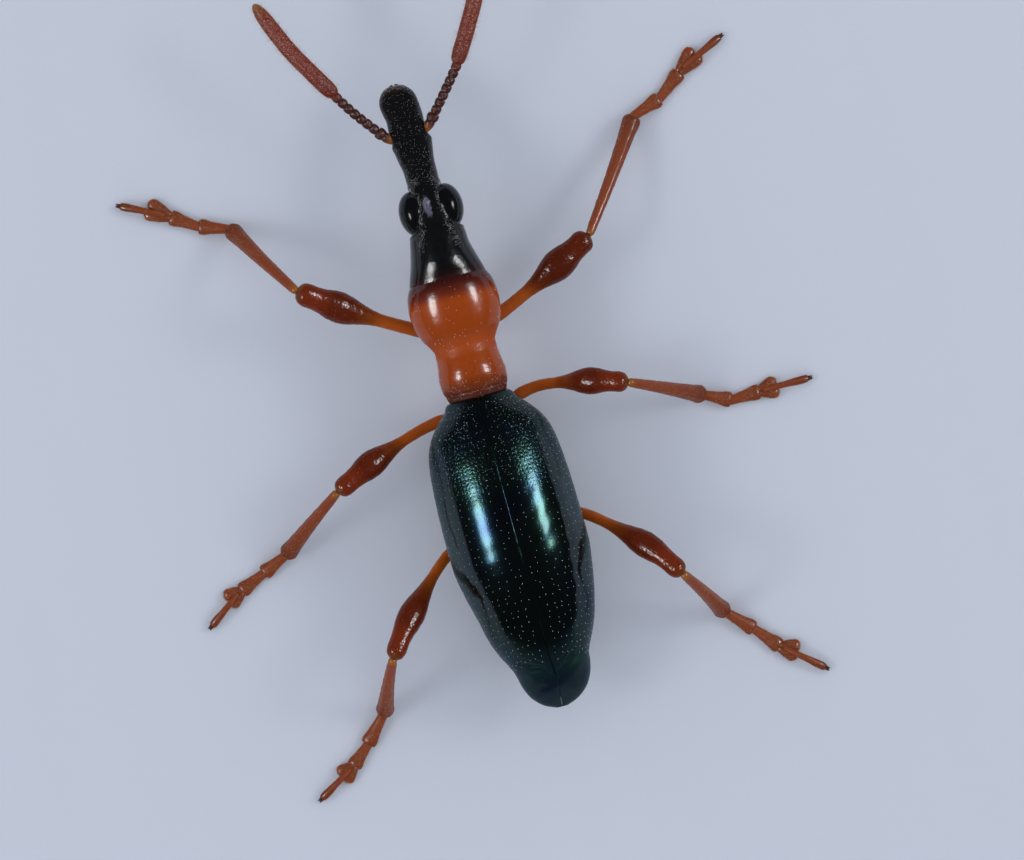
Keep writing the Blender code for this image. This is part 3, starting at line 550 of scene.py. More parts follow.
def add_piece(name, mesh, finish, slot, nodes=()):
    """The mesh as a finished piece: it rides on the body, has its finish, and stands for the nodes named."""
    mesh.materials.append(finish)
    piece = linked(name, mesh)
    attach(piece, "root")
    if nodes:
        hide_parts(*nodes)
    return piece


def skin(name, grids, finish, slot, nodes=(), marks=None):
    """Closed grids as one finished piece."""
    return add_piece(name, closed_mesh(name, grids, marks), finish, slot, nodes)


class Hairs:
    """Hairs gathered from several skins into one mesh of thin curved spikes."""

    def __init__(self, seed, tiles):
        self.rng = np.random.default_rng(seed)
        self.tiles = tiles
        self.tile = 0
        self.rows = []

    def sow(self, grid, count, where, length, half, heading=(1.0, 0.0), lift=0.35, curl=0.25, spread=0.35,
            places=None):
        """Set hairs on a grid where the mask allows, as many to each equal area, or at the places given.

        heading is how far each hair points along and around the grid, lift its rise off the skin, and curl its
        bend back towards it.
        """
        normal = outward(grid)
        along = np.gradient(grid, axis=0)
        around = (np.roll(grid, -1, axis=1) - np.roll(grid, 1, axis=1)) / 2.0
        if places is None:
            area = np.linalg.norm(np.cross(along, around), axis=-1) * where
            chances = (area / area.sum()).ravel()
            i, j = np.divmod(self.rng.choice(area.size, size=count, p=chances), grid.shape[1])
        else:
            i, j = (part[where[places] > 0.0] for part in places)
            count = len(i)
        shift = self.rng.uniform(-0.5, 0.5, size=(2, count, 1))
        root = grid[i, j] + along[i, j] * shift[0] + around[i, j] * shift[1]
        forward = along[i, j] / np.linalg.norm(along[i, j], axis=1)[:, None]
        across = around[i, j] / np.linalg.norm(around[i, j], axis=1)[:, None]
        wander = self.rng.normal(scale=spread, size=(count, 1))
        aim = forward * heading[0] + across * (heading[1] + wander)
        aim /= np.linalg.norm(aim, axis=1)[:, None]
        size = self.rng.uniform(0.7, 1.15, size=(count, 1))
        columns = math.ceil(math.sqrt(self.tiles))
        corner = np.array((self.tile % columns, self.tile // columns), dtype=float)
        spot = np.stack([j / grid.shape[1], i / grid.shape[0]], axis=1) * TILE_PART + TILE_MARGIN
        self.rows.append((root, aim, normal[i, j], length * size, np.full((count, 1), half),
                          np.full((count, 1), lift), np.full((count, 1), curl), (spot + corner) / columns))
        self.tile += 1

    def piece(self, name, finish, slot, levels=(0.0, 0.45, 0.8)):
        """The gathered hairs as one piece: triangles round a bent spine that thins to its tip."""
        root, aim, normal, length, half, lift, curl, spot = (np.concatenate(rows) for rows in zip(*self.rows))
        side = np.cross(aim, normal)
        side /= np.linalg.norm(side, axis=1)[:, None]
        count, rings = len(root), len(levels)
        corners = np.linspace(0.0, 2.0 * math.pi, 3, endpoint=False)
        points = np.empty((count, rings * 3 + 1, 3))
        for k, t in enumerate((*levels, 1.0)):
            rise = lift * t - curl * t * t
            bent = root + aim * length * t + normal * length * rise - normal * half * (1.0 - t)
            if k == rings:
                points[:, -1] = bent
                continue
            thick = half * (1.0 - t) ** 0.7
            for c, angle in enumerate(corners):
                points[:, k * 3 + c] = bent + thick * (math.cos(angle) * side + math.sin(angle) * normal)
        faces = [(2, 1, 0)]
        top = (rings - 1) * 3
        for low in range(0, top, 3):
            faces += [(low + c, low + (c + 1) % 3, low + 3 + (c + 1) % 3, low + 3 + c) for c in range(3)]
        faces += [(top + c, top + (c + 1) % 3, rings * 3) for c in range(3)]
        one = np.concatenate([np.array(face) for face in faces])
        loops = (one[None, :] + (np.arange(count) * (rings * 3 + 1))[:, None]).reshape(-1)
        sizes = np.tile([len(face) for face in faces], count)
        mesh = mesh_of(name, place(points).reshape(-1, 3), loops, sizes)
        patch = HAIR_PATCH * np.stack([np.cos(one * 1.7), np.sin(one * 2.3)], axis=1)
        patches = spot[:, None, :] + patch[None, :, :]
        layer = mesh.uv_layers.new(name="OFBake")
        layer.data.foreach_set("uv", patches.astype(np.float32).reshape(-1))
        return add_piece(name, mesh, finish, slot)


class Socket:
    """A shader socket that ordinary arithmetic can be written with."""

    def __init__(self, board, link):
        self.board, self.link = board, link

    def math(self, operation, *others):
        return self.board.node("ShaderNodeMath", {"operation": operation}, **{
            str(k): value for k, value in enumerate((self, *others))})

    def __add__(self, other):
        return self.math("ADD", other)

    def __mul__(self, other):
        return self.math("MULTIPLY", other)

    def __sub__(self, other):
        return self.math("SUBTRACT", other)

    def __rsub__(self, other):
        return self.board.node("ShaderNodeMath", {"operation": "SUBTRACT"}, **{"0": other, "1": self})

    def __truediv__(self, other):
        return self.math("DIVIDE", other)

    __radd__ = __add__
    __rmul__ = __mul__


class Board:
    """One material while it is drawn, with its Principled shader."""

    def __init__(self, name, roughness=0.3, metallic=0.0, coat=0.0, coat_roughness=0.05, scatter=0.0,
                 gloss=0.2):
        self.material = bpy.data.materials.new(name)
        self.material.use_nodes = True
        self.tree = self.material.node_tree
        self.shader = self.tree.nodes["Principled BSDF"]
        for key, value in {"Roughness": roughness, "Metallic": metallic, "Coat Weight": coat,
                           "Coat Roughness": coat_roughness, "Subsurface Weight": scatter,
                           "Specular IOR Level": gloss}.items():
            self.shader.inputs[key].default_value = value
        if scatter:
            self.shader.inputs["Subsurface Radius"].default_value = SCATTER_REACH
            self.shader.inputs["Subsurface Scale"].default_value = SCATTER_DEPTH
        self.local = None

    def node(self, kind, settings=None, output=0, **values):
        """A node of the given type: its settings first, then a number, colour or link into each socket."""
        node = self.tree.nodes.new(kind)
        for key, value in (settings or {}).items():
            if key == "stops":
                self.set_stops(node.color_ramp, value)
            else:
                setattr(node, key, value)
        for key, value in values.items():
            socket = node.inputs[int(key)] if key.isdigit() else node.inputs[key.replace("_", " ")]
            self.join(socket, value)
        return Socket(self, node.outputs[output])

    def join(self, socket, value):
        """Link a socket to another, or set its value."""
        if isinstance(value, Socket):
            self.tree.links.new(value.link, socket)
        else:
            socket.default_value = value

    @staticmethod
    def set_stops(ramp, stops):
        """Stops of a colour ramp as (place, colour)."""
        while len(ramp.elements) < len(stops):
            ramp.elements.new(1.0)
        for element, (spot, colour) in zip(ramp.elements, stops):
            element.position = spot
            element.color = (*colour, 1.0)

    def millimetres(self):
        """The piece's own coordinates in millimetres."""
        if self.local is None:
            texture = self.tree.nodes.new("ShaderNodeTexCoord")
            own = Socket(self, texture.outputs["Object"])
            self.local = self.node("ShaderNodeVectorMath", {"operation": "SCALE"},
                                   **{"0": own, "Scale": 1.0 / MM})
        return self.local

    def axis(self, output):
        """One of the piece's own coordinates in millimetres."""
        return self.node("ShaderNodeSeparateXYZ", None, output, Vector=self.millimetres())

    def back(self):
        """How far back on the animal, in millimetres."""
        return self.axis(1) + CENTRE_BACK

    def right(self):
        """How far to the animal's right, in millimetres."""
        return CENTRE_RIGHT - self.axis(0)

    def up(self):
        """How far above the floor, in millimetres."""
        return self.axis(2)

    def mark(self):
        """The number that the mesh keeps at each point."""
        return self.node("ShaderNodeAttribute", {"attribute_name": "mark"}, 2)

    def noise(self, scale, detail=3.0, roughness=0.55):
        """Soft noise from 0 to 1, with about this many lumps to a millimetre."""
        return self.node("ShaderNodeTexNoise", None, 0, Vector=self.millimetres(), Scale=scale, Detail=detail,
                         Roughness=roughness)

    def cells(self, scale):
        """Distance to the nearest of scattered points, about this many to a millimetre."""
        return self.node("ShaderNodeTexVoronoi", None, 0, Vector=self.millimetres(), Scale=scale)

    def step(self, value, low, high, start=0.0, end=1.0):
        """A smooth change from start to end while the value goes from low to high."""
        return self.node("ShaderNodeMapRange", {"interpolation_type": "SMOOTHSTEP"}, 0, Value=value, **{
            "From Min": low, "From Max": high, "To Min": start, "To Max": end})

    def mix(self, factor, low, high):
        """One colour that turns into another with the factor."""
        low = low if isinstance(low, Socket) else (*low, 1.0)
        high = high if isinstance(high, Socket) else (*high, 1.0)
        return self.node("ShaderNodeMix", {"data_type": "RGBA"}, 2, **{"0": factor, "6": low, "7": high})

    def ramp(self, factor, stops):
        """A colour read from stops."""
        return self.node("ShaderNodeValToRGB", {"stops": stops}, 0, Fac=factor)

    def finish(self, colour, height=None, depth=0.0, **others):
        """Join the colour, a bump of a depth in millimetres and any other inputs; gives the material."""
        self.join(self.shader.inputs["Base Color"], colour if isinstance(colour, Socket) else (*colour, 1.0))
        if height is not None:
            bump = self.node("ShaderNodeBump", None, 0, Strength=1.0, Distance=depth * MM, Height=height)
            self.join(self.shader.inputs["Normal"], bump)
        for key, value in others.items():
            self.join(self.shader.inputs[key.replace("_", " ")], value)
        return self.material


def colours():
    """The colours that the panel offers."""
    return bpy.context.scene.weevil_colours


def sizes():
    """The sizes that the panel offers."""
    return bpy.context.scene.weevil_sizes


def tint(name):
    """One of the panel's colours as three numbers."""
    return tuple(getattr(colours(), name))


def shaded(colour, factor):
    """A colour made darker or lighter."""
    return tuple(channel * factor for channel in colour)


def look(name, draw):
    """A material by name, drawn once."""
    if name not in LOOKS:
        LOOKS[name] = draw(name)
    return LOOKS[name]


def draw_head(name):
    """Glossy black cuticle, brown at the mouth and dark red where the head enters the thorax.

    A painted lavender-grey reflection fills the hollow between the eyes.
    """
    board = Board(name, coat=0.5, coat_roughness=0.04, gloss=0.10)
    back = board.back()
    mottle = board.noise(14.0)
    black = board.mix(mottle, shaded(tint("black"), 0.5), shaded(tint("black"), 1.5))
    mouth = board.step(back + mottle * 0.05, 0.02, 0.13, 1.0, 0.0)
    browned = board.mix(mouth * 0.5, black, (0.075, 0.026, 0.012))
    neck = board.step(back, 1.96, 2.00)
    reddened = board.mix(neck, browned, collar_tone(board, back))
    # Painted reflection: a mottled lavender-grey colour laid into the brow dimple, on the top of the head only
    middle, aside, length, width = BROW_DIMPLE
    ahead, across = (back - middle) / length, (board.right() - aside) / width
    patch = board.step(ahead * ahead + across * across + (board.noise(26.0, 3.0) - 0.5) * 3.4, 1.7, 0.2)
    patch = patch * board.step(board.up(), 1.12, 1.20)
    reflection_mottle = board.step(board.noise(110.0, 2.0), 0.42, 0.68)
    painted_reflection = board.mix(reflection_mottle, (0.045, 0.041, 0.066), (0.380, 0.350, 0.500))
    return board.finish(board.mix(patch * 0.8, reddened, painted_reflection),
                        board.noise(60.0, 2.0) + board.cells(40.0) * 0.8, 0.0016,
                        Roughness=0.14 + mottle * 0.12 + patch * 0.18)


def collar_tone(board, back):
    """Where head and prothorax meet: black, then dark red, red-brown and orange further back."""
    orange = tint("orange")
    return board.ramp((back - 1.94 + (board.noise(9.0) - 0.5) * 0.06) / 0.46, (
        (0.12, (0.004, 0.003, 0.003)), (0.28, (0.012, 0.003, 0.003)), (0.40, (0.042, 0.006, 0.004)),
        (0.54, (0.078, 0.009, 0.004)), (0.68, (0.130, 0.016, 0.005)), (0.84, (0.260, 0.036, 0.005)),
        (1.0, orange)))


def draw_eye(name):
    """Polished black eye with fine facets."""
    board = Board(name, roughness=0.10, coat=0.15, coat_roughness=0.05, gloss=0.22)
    return board.finish(board.mix(board.noise(5.0), (0.002, 0.002, 0.003), (0.005, 0.005, 0.006)),
                        board.cells(52.0), 0.0005)


def draw_prothorax(name):
    """Glossy, slightly clear orange-brown cuticle, dark red at the front edge and at the rear collar."""
    board = Board(name, coat=0.6, coat_roughness=0.04, scatter=0.15, gloss=0.06)
    mottle = board.noise(5.0, 4.0)
    fine = board.noise(28.0, 3.0)
    orange = tint("orange")
    back = board.back()
    wavy = back + (mottle - 0.5) * 0.05
    rear = board.ramp((wavy - 2.34) / 1.07, (
        (0.0, orange), (0.36, shaded(orange, 0.88)), (0.46, shaded(orange, 1.10)),
        (0.62, shaded(orange, 0.95)), (0.78, shaded(orange, 0.80)), (0.87, shaded(orange, 0.45)),
        (0.935, (0.090, 0.010, 0.003)), (1.0, (0.040, 0.005, 0.003))))
    warm = board.mix(fine * 0.3, rear, shaded(orange, 0.5))
    flecked = board.mix(board.step(board.cells(11.0), 0.14, 0.02) * 0.15, warm, (0.50, 0.18, 0.05))
    tone = board.mix(board.step(back, 2.28, 2.40), collar_tone(board, back), flecked)
    waist = board.step(back, 2.66, 2.76) * board.step(back, 2.97, 2.88)
    dull = board.step(back, 3.24, 3.30) + waist
    return board.finish(tone, fine + mottle * 2.0, 0.0012, Roughness=0.16 + fine * 0.16 + dull * 0.3,
                        Coat_Weight=0.6 - dull * 0.5)


def draw_wing_case(name):
    """Blue-black wing case under a clear gloss, its sheen teal, blue and green by patches."""
    board = Board(name, metallic=1.0, coat=0.55, coat_roughness=0.04)
    board.join(board.shader.inputs["Specular Tint"], (0.80, 0.92, 1.0, 1.0))
    drift = board.noise(1.6, 3.0, 0.6)
    fine = board.noise(90.0, 2.0)
    sheen = tint("sheen")
    base = board.ramp(drift, (
        (0.30, (sheen[0] * 0.6, sheen[1] * 0.5, sheen[2] * 1.05)), (0.46, sheen),
        (0.60, (sheen[0] * 1.1, sheen[1] * 1.10, sheen[2] * 0.70)), (0.75, shaded(sheen, 0.6))))
    specks = board.step(board.cells(26.0), 0.30, 0.12)
    rough = board.step(board.back(), 4.60, 4.15, 0.15, 1.0)
    flank = board.step(board.up(), 1.42, 1.20)
    return board.finish(board.mix(specks * 0.4, base, shaded(sheen, 0.4)), (fine - specks * 1.5) * rough,
                        0.0016, Roughness=0.12 + rough * fine * 0.10 + flank * 0.34,
                        Coat_Weight=0.6 - flank * 0.40)


def draw_belly(name):
    """Dark satin underside."""
    board = Board(name, coat=0.3, coat_roughness=0.12)
    mottle = board.noise(9.0)
    return board.finish(board.mix(mottle, (0.008, 0.008, 0.011), (0.030, 0.018, 0.014)),
                        board.cells(34.0) + board.noise(60.0), 0.0022, Roughness=0.26 + mottle * 0.15)


def draw_thigh(name):
    """Thigh: clear orange stalk, dark red-brown swelling, brighter knob and amber end."""
    board = Board(name, coat=0.32, coat_roughness=0.05, scatter=0.12, gloss=0.06)
    mottle = board.noise(8.0, 4.0)
    spot = board.mark() + (mottle - 0.5) * 0.06
    thigh, amber = tint("thigh"), tint("amber")
    tone = board.ramp(spot, (
        (0.0, shaded(tint("stalk"), 0.8)), (0.36, tint("stalk")), (0.48, shaded(tint("stalk"), 0.5)),
        (0.60, thigh), (0.76, shaded(thigh, 0.85)), (0.86, shaded(thigh, 1.5)), (0.97, shaded(thigh, 1.3)),
        (1.0, shaded(amber, 0.4))))
    dark = board.step(board.right(), 0.5, 0.9) * board.step(board.back(), 3.0, 2.7)
    tone = board.mix(dark * 0.7, tone, board.ramp(spot, (
        (0.36, shaded(tint("stalk"), 0.65)), (0.5, shaded(thigh, 0.6)), (1.0, shaded(thigh, 0.6)))))
    fine = board.noise(45.0, 2.0)
    return board.finish(board.mix(mottle * 0.3, tone, shaded(thigh, 0.5)), fine + board.cells(30.0) * 1.2,
                        0.0018, Roughness=0.14 + fine * 0.16)


def draw_shin(name):
    """Shin: amber at the knee, then dull orange-brown, a little darker at the ankle."""
    board = Board(name, coat=0.15, coat_roughness=0.08, scatter=0.15, gloss=0.08)
    mottle = board.noise(12.0, 4.0)
    shin = tint("shin")
    tone = board.ramp(board.mark() + (mottle - 0.5) * 0.05, (
        (0.0, tint("amber")), (0.03, shaded(tint("amber"), 0.8)), (0.08, shaded(shin, 1.05)), (0.55, shin),
        (0.85, shaded(shin, 0.82)), (0.97, shaded(shin, 0.6)), (1.0, tint("amber"))))
    return board.finish(board.mix(mottle * 0.3, tone, shaded(shin, 0.55)), board.noise(40.0, 2.0), 0.0022,
                        Roughness=0.26 + mottle * 0.2)


def draw_foot(name):
    """Foot: warm orange-brown joints, paler at their edges, with dark claws."""
    board = Board(name, coat=0.10, coat_roughness=0.1, scatter=0.2, gloss=0.08)
    mottle = board.noise(14.0, 4.0)
    foot = tint("foot")
    tone = board.ramp(board.mark(), (
        (0.0, tint("amber")), (0.10, shaded(foot, 1.1)), (0.45, shaded(foot, 0.72)), (0.60, foot),
        (0.75, shaded(foot, 0.85)), (0.88, shaded(foot, 0.45)), (0.95, (0.050, 0.014, 0.006))))
    return board.finish(board.mix(mottle * 0.35, tone, shaded(foot, 0.45)), board.noise(50.0, 2.0), 0.0022,
                        Roughness=0.30 + mottle * 0.2)


def draw_feeler(name):
    """Feeler: amber root, dark brown beads, then a red-brown club with an amber tip."""
    board = Board(name, gloss=0.1, scatter=0.08)
    mottle = board.noise(22.0, 4.0)
    club, bead = tint("club"), tint("bead")
    tone = board.ramp(board.mark() + (mottle - 0.5) * 0.015, (
        (0.0, tint("amber")), (0.050, tint("amber")), (0.078, shaded(bead, 1.6)), (0.36, shaded(bead, 1.5)),
        (0.43, shaded(club, 0.75)), (0.60, club), (0.93, shaded(club, 1.05)),
        (0.985, shaded(tint("amber"), 0.75))))
    rough = board.cells(48.0)
    return board.finish(board.mix(mottle * 0.4, tone, shaded(bead, 0.6)), rough * 1.4 + mottle, 0.0045,
                        Roughness=0.28 + mottle * 0.2)


def draw_hip(name):
    """Hips: glossy orange-brown, darker and lighter by turns."""
    board = Board(name, coat=0.4, coat_roughness=0.08, scatter=0.12)
    mottle = board.noise(9.0, 4.0)
    return board.finish(board.mix(mottle, shaded(tint("stalk"), 0.35), shaded(tint("stalk"), 0.8)),
                        board.noise(50.0), 0.0016, Roughness=0.18 + mottle * 0.14)


def draw_membrane(name):
    """Pale yellowish membrane of the waist."""
    board = Board(name, scatter=0.2)
    folds = board.noise(30.0, 4.0)
    return board.finish(board.mix(folds, (0.20, 0.10, 0.04), (0.42, 0.30, 0.14)), folds, 0.004,
                        Roughness=0.45 + folds * 0.2)


def draw_hair(name):
    """Hair, a little paler and darker by turns."""
    board = Board(name, roughness=0.35)
    return board.finish(board.mix(board.noise(6.0), shaded(tint(name), 0.75), shaded(tint(name), 1.1)))


def draw_floor(name):
    """Plain pale matt floor."""
    board = Board(name, roughness=0.9, gloss=0.0)
    soft = board.noise(0.35, 2.0)
    return board.finish(board.mix(soft, shaded(tint("floor"), 0.985), tint("floor")))


class WeevilSizes(bpy.types.PropertyGroup):
    """Sizes of the fine relief and of the hair."""

    pit_depth: FineLength(name="Pit depth", description="Depth of the punctures of head and wing cases",
                          default=0.0070 * MM)
    pit_radius: FineLength(name="Pit radius", description="Radius of the punctures", default=0.0115 * MM)
    fold_depth: FineLength(name="Fold depth", description="Depth of the folds near the end of the wing cases",
                           default=0.006 * MM)
    seam_depth: FineLength(name="Seam depth", description="Depth of the groove between the wing cases",
                           default=0.004 * MM)
    sternite_groove: FineLength(name="Belly groove", description="Depth of the joints under the abdomen",
                                default=0.022 * MM)
    hair_length: FineLength(name="Hair length", description="Length of the hairs on shins and feelers",
                            default=0.034 * MM)
    hair_half: FineLength(name="Hair half thickness", description="Half the thickness of a hair at its root",
                          default=0.0013 * MM)


class WeevilColours(bpy.types.PropertyGroup):
    """Colours of the shell, limbs and stage."""

    black: Colour(name="Black shell", description="Head and rostrum", default=(0.0042, 0.0042, 0.0050))
    sheen: Colour(name="Wing case sheen", description="Colour of the wing cases' gloss",
                  default=(0.0080, 0.0215, 0.0270))
    orange: Colour(name="Orange shell", description="Prothorax", default=(0.400, 0.062, 0.004))
    stalk: Colour(name="Thigh stalk", description="Slender root of the thighs", default=(0.520, 0.108, 0.013))
    thigh: Colour(name="Thigh", description="Swollen part of the thighs", default=(0.140, 0.018, 0.004))
    amber: Colour(name="Amber", description="Knees and roots of the feelers", default=(0.390, 0.125, 0.018))
    shin: Colour(name="Shin", description="Shins", default=(0.260, 0.055, 0.018))
    foot: Colour(name="Foot", description="Joints of the feet", default=(0.300, 0.062, 0.017))
    bead: Colour(name="Feeler beads", description="Beaded part of the feelers", default=(0.045, 0.009, 0.007))
    club: Colour(name="Feeler club", description="Long end of the feelers", default=(0.250, 0.026, 0.010))
    # The hair colour is also the white of the specks, which are pale setae and painted glints at once
    hair: Colour(name="Hair", description="White specks of the body", default=(0.760, 0.740, 0.680))
    rosy_hair: Colour(name="Rosy hair", description="Bristles of feelers and prothorax",
                      default=(0.860, 0.660, 0.520))
    amber_hair: Colour(name="Amber hair", description="Fine hairs of feelers and legs",
                       default=(0.560, 0.290, 0.120))
    floor: Colour(name="Floor", description="Floor under the animal", default=(0.665, 0.695, 0.770))


class WeevilStage(bpy.types.PropertyGroup):
    """Floor and light."""

    floor_half: Length(name="Floor half width", description="Half the width of the floor", default=1.5)
    lamp_power: Amount(name="Lamp power", description="Power of each of the two soft lamps in watts",
                       default=0.0045)
    gleam_power: Amount(name="Gleam power", description="Power of the lamps that only gloss reflects",
                        default=0.0950)
    lamp_distance: Length(name="Lamp distance", description="Distance of the lamps from the animal",
                          default=0.060)
    lamp_size: Length(name="Lamp size", description="Length of the oval lamps", default=0.024)
    sky: Amount(name="Sky light", description="Strength of the even light from all round", default=0.72)
    sky_gloss: Amount(name="Reflected sky", description="Strength of the sky that gloss reflects",
                      default=0.07)


def mm(length):
    """A length of the panel in millimetres."""
    return length / MM


def eye_centre(side):
    """The middle of one eye."""
    return np.array((EYE_CENTRE[0], spine(EYE_CENTRE[0]) + side * EYE_CENTRE[1], EYE_CENTRE[2]))


def eye_reach(grid, side):
    """How far out of one eye's ellipsoid each point lies: 1 on its surface."""
    return np.linalg.norm((grid - eye_centre(side)) / EYE_HALF, axis=-1)


def brow_bands(grid):
    """The head's two rough bands, 1 at their middle: along the inner rims of the eyes and behind them."""
    back = grid[..., 0]
    aside = np.abs(grid[..., 1] - spine(back))
    rims = sum(hill(eye_reach(grid, side), 1.05, 0.09) for side, _ in SIDES)
    rims = rims * smooth_step(0.19, 0.15, aside)
    behind = hill(aside, 0.105 + 0.09 * smooth_step(1.4, 1.8, back), 0.030) * smooth_step(1.45, 1.58, back)
    ahead = hill(aside, 0.09, 0.030) * smooth_step(0.78, 0.92, back) * smooth_step(1.15, 1.05, back)
    return np.minimum(rims + behind + ahead, 1.0) * smooth_step(1.84, 1.70, back)


def head_grid():
    """Rostrum and head in one skin, with eye rims, brow dimple, feeler sockets and punctures."""
    grid = body_grid(HEAD_CAPSULE, *MESH["head"])
    back, right, _ = np.moveaxis(grid, -1, 0)
    rise = outward(grid)[..., 2]
    amount = 0.0015 * waves(grid, (0.13, 0.21, 0.34), 5)
    inner = smooth_step(0.175, 0.135, np.abs(right - spine(back))) * (rise > 0.0)
    for side, _ in SIDES:
        reach = eye_reach(grid, side)
        amount += 0.021 * hill(reach, 1.0, 0.14) * inner
        amount += (0.007 * hill(reach, 1.20, 0.07) - 0.010 * hill(reach, 1.04, 0.06)) * (1.0 - inner)
    middle, aside, length, width = BROW_DIMPLE
    dimple = hill(back, middle, length) ** 2 * hill(right, aside, width) * (rise > 0.0)
    amount -= 0.030 * dimple
    for socket in FEELER_SOCKETS:
        distance = np.linalg.norm(grid - np.array(socket), axis=-1)
        amount -= 0.030 * hill(distance, 0.0, 0.050)
        amount += 0.006 * hill(distance, 0.085, 0.024)
    bands = brow_bands(grid) * (rise > 0.0)
    radius, depth = mm(sizes().pit_radius), mm(sizes().pit_depth)
    coarse = pits(grid, 0.040, 34, radius, 0.85, seed=3) * smooth_step(1.60, 1.20, back)
    close = pits(grid, 0.026, 50, radius * 0.95, 0.95, seed=9) * bands
    sparse = pits(grid, 0.075, 26, radius * 0.7, 0.5, seed=15) * smooth_step(1.35, 1.6, back)
    amount -= depth * (0.35 * coarse * (1.0 - bands) + 0.5 * close + 0.2 * sparse) * (1.0 - dimple)
    return raised(grid, amount)


def prothorax_grid():
    """Prothorax skin: two lobes, the groove between them, a rear collar and sparse punctures."""
    grid = body_grid(PROTHORAX, *MESH["prothorax"])
    back, right, _ = np.moveaxis(grid, -1, 0)
    rise = outward(grid)[..., 2]
    amount = 0.0012 * waves(grid, (0.11, 0.19, 0.31, 0.5), 11)
    amount -= 0.0060 * hill(right - spine(back), 0.0, 0.012) * hill(back, 3.13, 0.10) * (rise > 0.0)
    amount -= 0.0060 * hill(back, 3.335, 0.012)
    pattern = pits(grid, 0.085, 24, 0.013, 0.65, seed=21)
    rear = pits(grid, 0.045, 40, 0.010, 0.8, seed=27) * smooth_step(3.12, 3.28, back)
    return raised(grid, amount - 0.0016 * pattern - 0.0030 * rear)


def wing_case_shape(side):
    """A superelliptic arc from the seam to the lower edge, closed by a floor that rises in the middle."""
    first, last = HIND_BODY[0][0], HIND_BODY[-1][0]
    back = first + (last - first) * crowded(SHELL_RINGS, 0.45)
    half, middle, top, belly = flow(HIND_BODY, back).T[:, :, None]
    edge = middle - EDGE_SHARE * (middle - belly)
    lowest = -math.asin(EDGE_SHARE ** (BODY_SQUARENESS / 2.0))
    turn = np.linspace(math.pi / 2.0, lowest, SHELL_COLUMNS - 1)
    turn = np.insert(turn, 1, math.pi / 2.0 - SEAM_TURN)[None, :]
    outer = np.maximum(half * squared(np.cos(turn)), SEAM_GAP)
    lift = np.where(turn > 0.0, top - middle, middle - belly) * squared(np.sin(turn))
    inner = np.linspace(0.97, 0.0, UNDER_COLUMNS)[None, :]
    tuck = 0.030 * np.sin(np.linspace(0.0, math.pi, UNDER_COLUMNS))[None, :]
    right = np.concatenate([outer, np.maximum(outer[:, -1:] * inner, SEAM_GAP)], axis=1)
    up = np.concatenate([middle + lift, edge + tuck + 0.0 * outer[:, -1:]], axis=1)
    return square_rings(back, spine(back)[:, None] + side * right, up)


def seam_relief(behind, reach):
    """A groove along the seam that turns into a low ridge over part of its length."""
    crest = smooth_step(SEAM_RIDGE[0] - 0.08, SEAM_RIDGE[0], behind)
    crest = crest * smooth_step(SEAM_RIDGE[1] + 0.06, SEAM_RIDGE[1], behind)
    groove = 0.35 + 0.65 * smooth_step(5.9, 6.2, behind)
    return mm(sizes().seam_depth) * hill(reach, 0.0, 0.010) * (crest - (1.0 - crest) * groove)


def puncture_relief(grid, side, reach, across):
    """Rows of pits with smaller ones scattered between them, deepest at the front and gone at the sides."""
    behind = grid[..., 0]
    radius = mm(sizes().pit_radius)
    rows = pits(grid, *PIT_ROWS, radius * 0.9, 1.0, PIT_JITTER, PIT_SEED)
    scatter = pits(grid, 0.053, 36, radius * 0.7, 0.6, (0.9, 0.9), 47 + int(side))
    calm = smooth_step(6.40, 6.10, behind) * smooth_step(0.02, 0.05, reach)
    grained = (0.05 + 0.55 * smooth_step(4.55, 4.15, behind)) * smooth_step(0.72, 0.58, across)
    return -mm(sizes().pit_depth) * (0.8 * rows + 0.5 * scatter) * grained * calm


def form_relief(behind, across):
    """The line near the edge, the shoulder, the hollow beside it and a dent near the end."""
    amount = -0.0085 * hill(across, EDGE_LINE, 0.010) * smooth_step(3.75, 4.1, behind)
    amount = amount + 0.022 * hill(behind, 3.76, 0.13) * hill(across, 0.60, 0.13)
    amount = amount - 0.010 * hill(behind, 3.86, 0.20) * hill(across, 0.22, 0.20)
    return amount - 0.006 * hill(behind, 6.315, 0.045) * hill(across, 0.85, 0.16)


def fold_relief(grid, side, reach):
    """Slanting folds near the end: bells across a line that wanders, with a low swelling behind them."""
    slant = grid[..., 0] + FOLD_SLANT * reach - FOLD_BACK
    drift = 0.016 * np.sin(reach * 21.0 + side) + 0.020 * waves(grid, (0.18, 0.31), 51)
    folds = sum(strength * hill(slant + drift, offset, 0.017) for offset, strength in FOLDS)
    swelling = 0.007 * hill(slant, 0.13, 0.075) * smooth_step(0.46, 0.22, reach)
    return swelling - mm(sizes().fold_depth) * folds * smooth_step(0.42, 0.16, reach)


def wing_case_grid(side):
    """One wing case: its shape, with relief on its outer face only."""
    grid = wing_case_shape(side)
    columns = np.arange(grid.shape[1])
    shell = (columns < SHELL_COLUMNS)[None, :] * 1.0
    across = np.minimum(columns / (SHELL_COLUMNS - 1.0), 1.0)[None, :]
    behind = grid[..., 0]
    reach = np.abs(grid[..., 1] - spine(grid[:, :1, 0]))
    amount = 0.0016 * waves(grid, (0.16, 0.27, 0.6), 31 + int(side)) + seam_relief(behind, reach)
    amount += puncture_relief(grid, side, reach, across)
    amount += form_relief(behind, across) + fold_relief(grid, side, reach)
    return raised(grid, amount * shell)


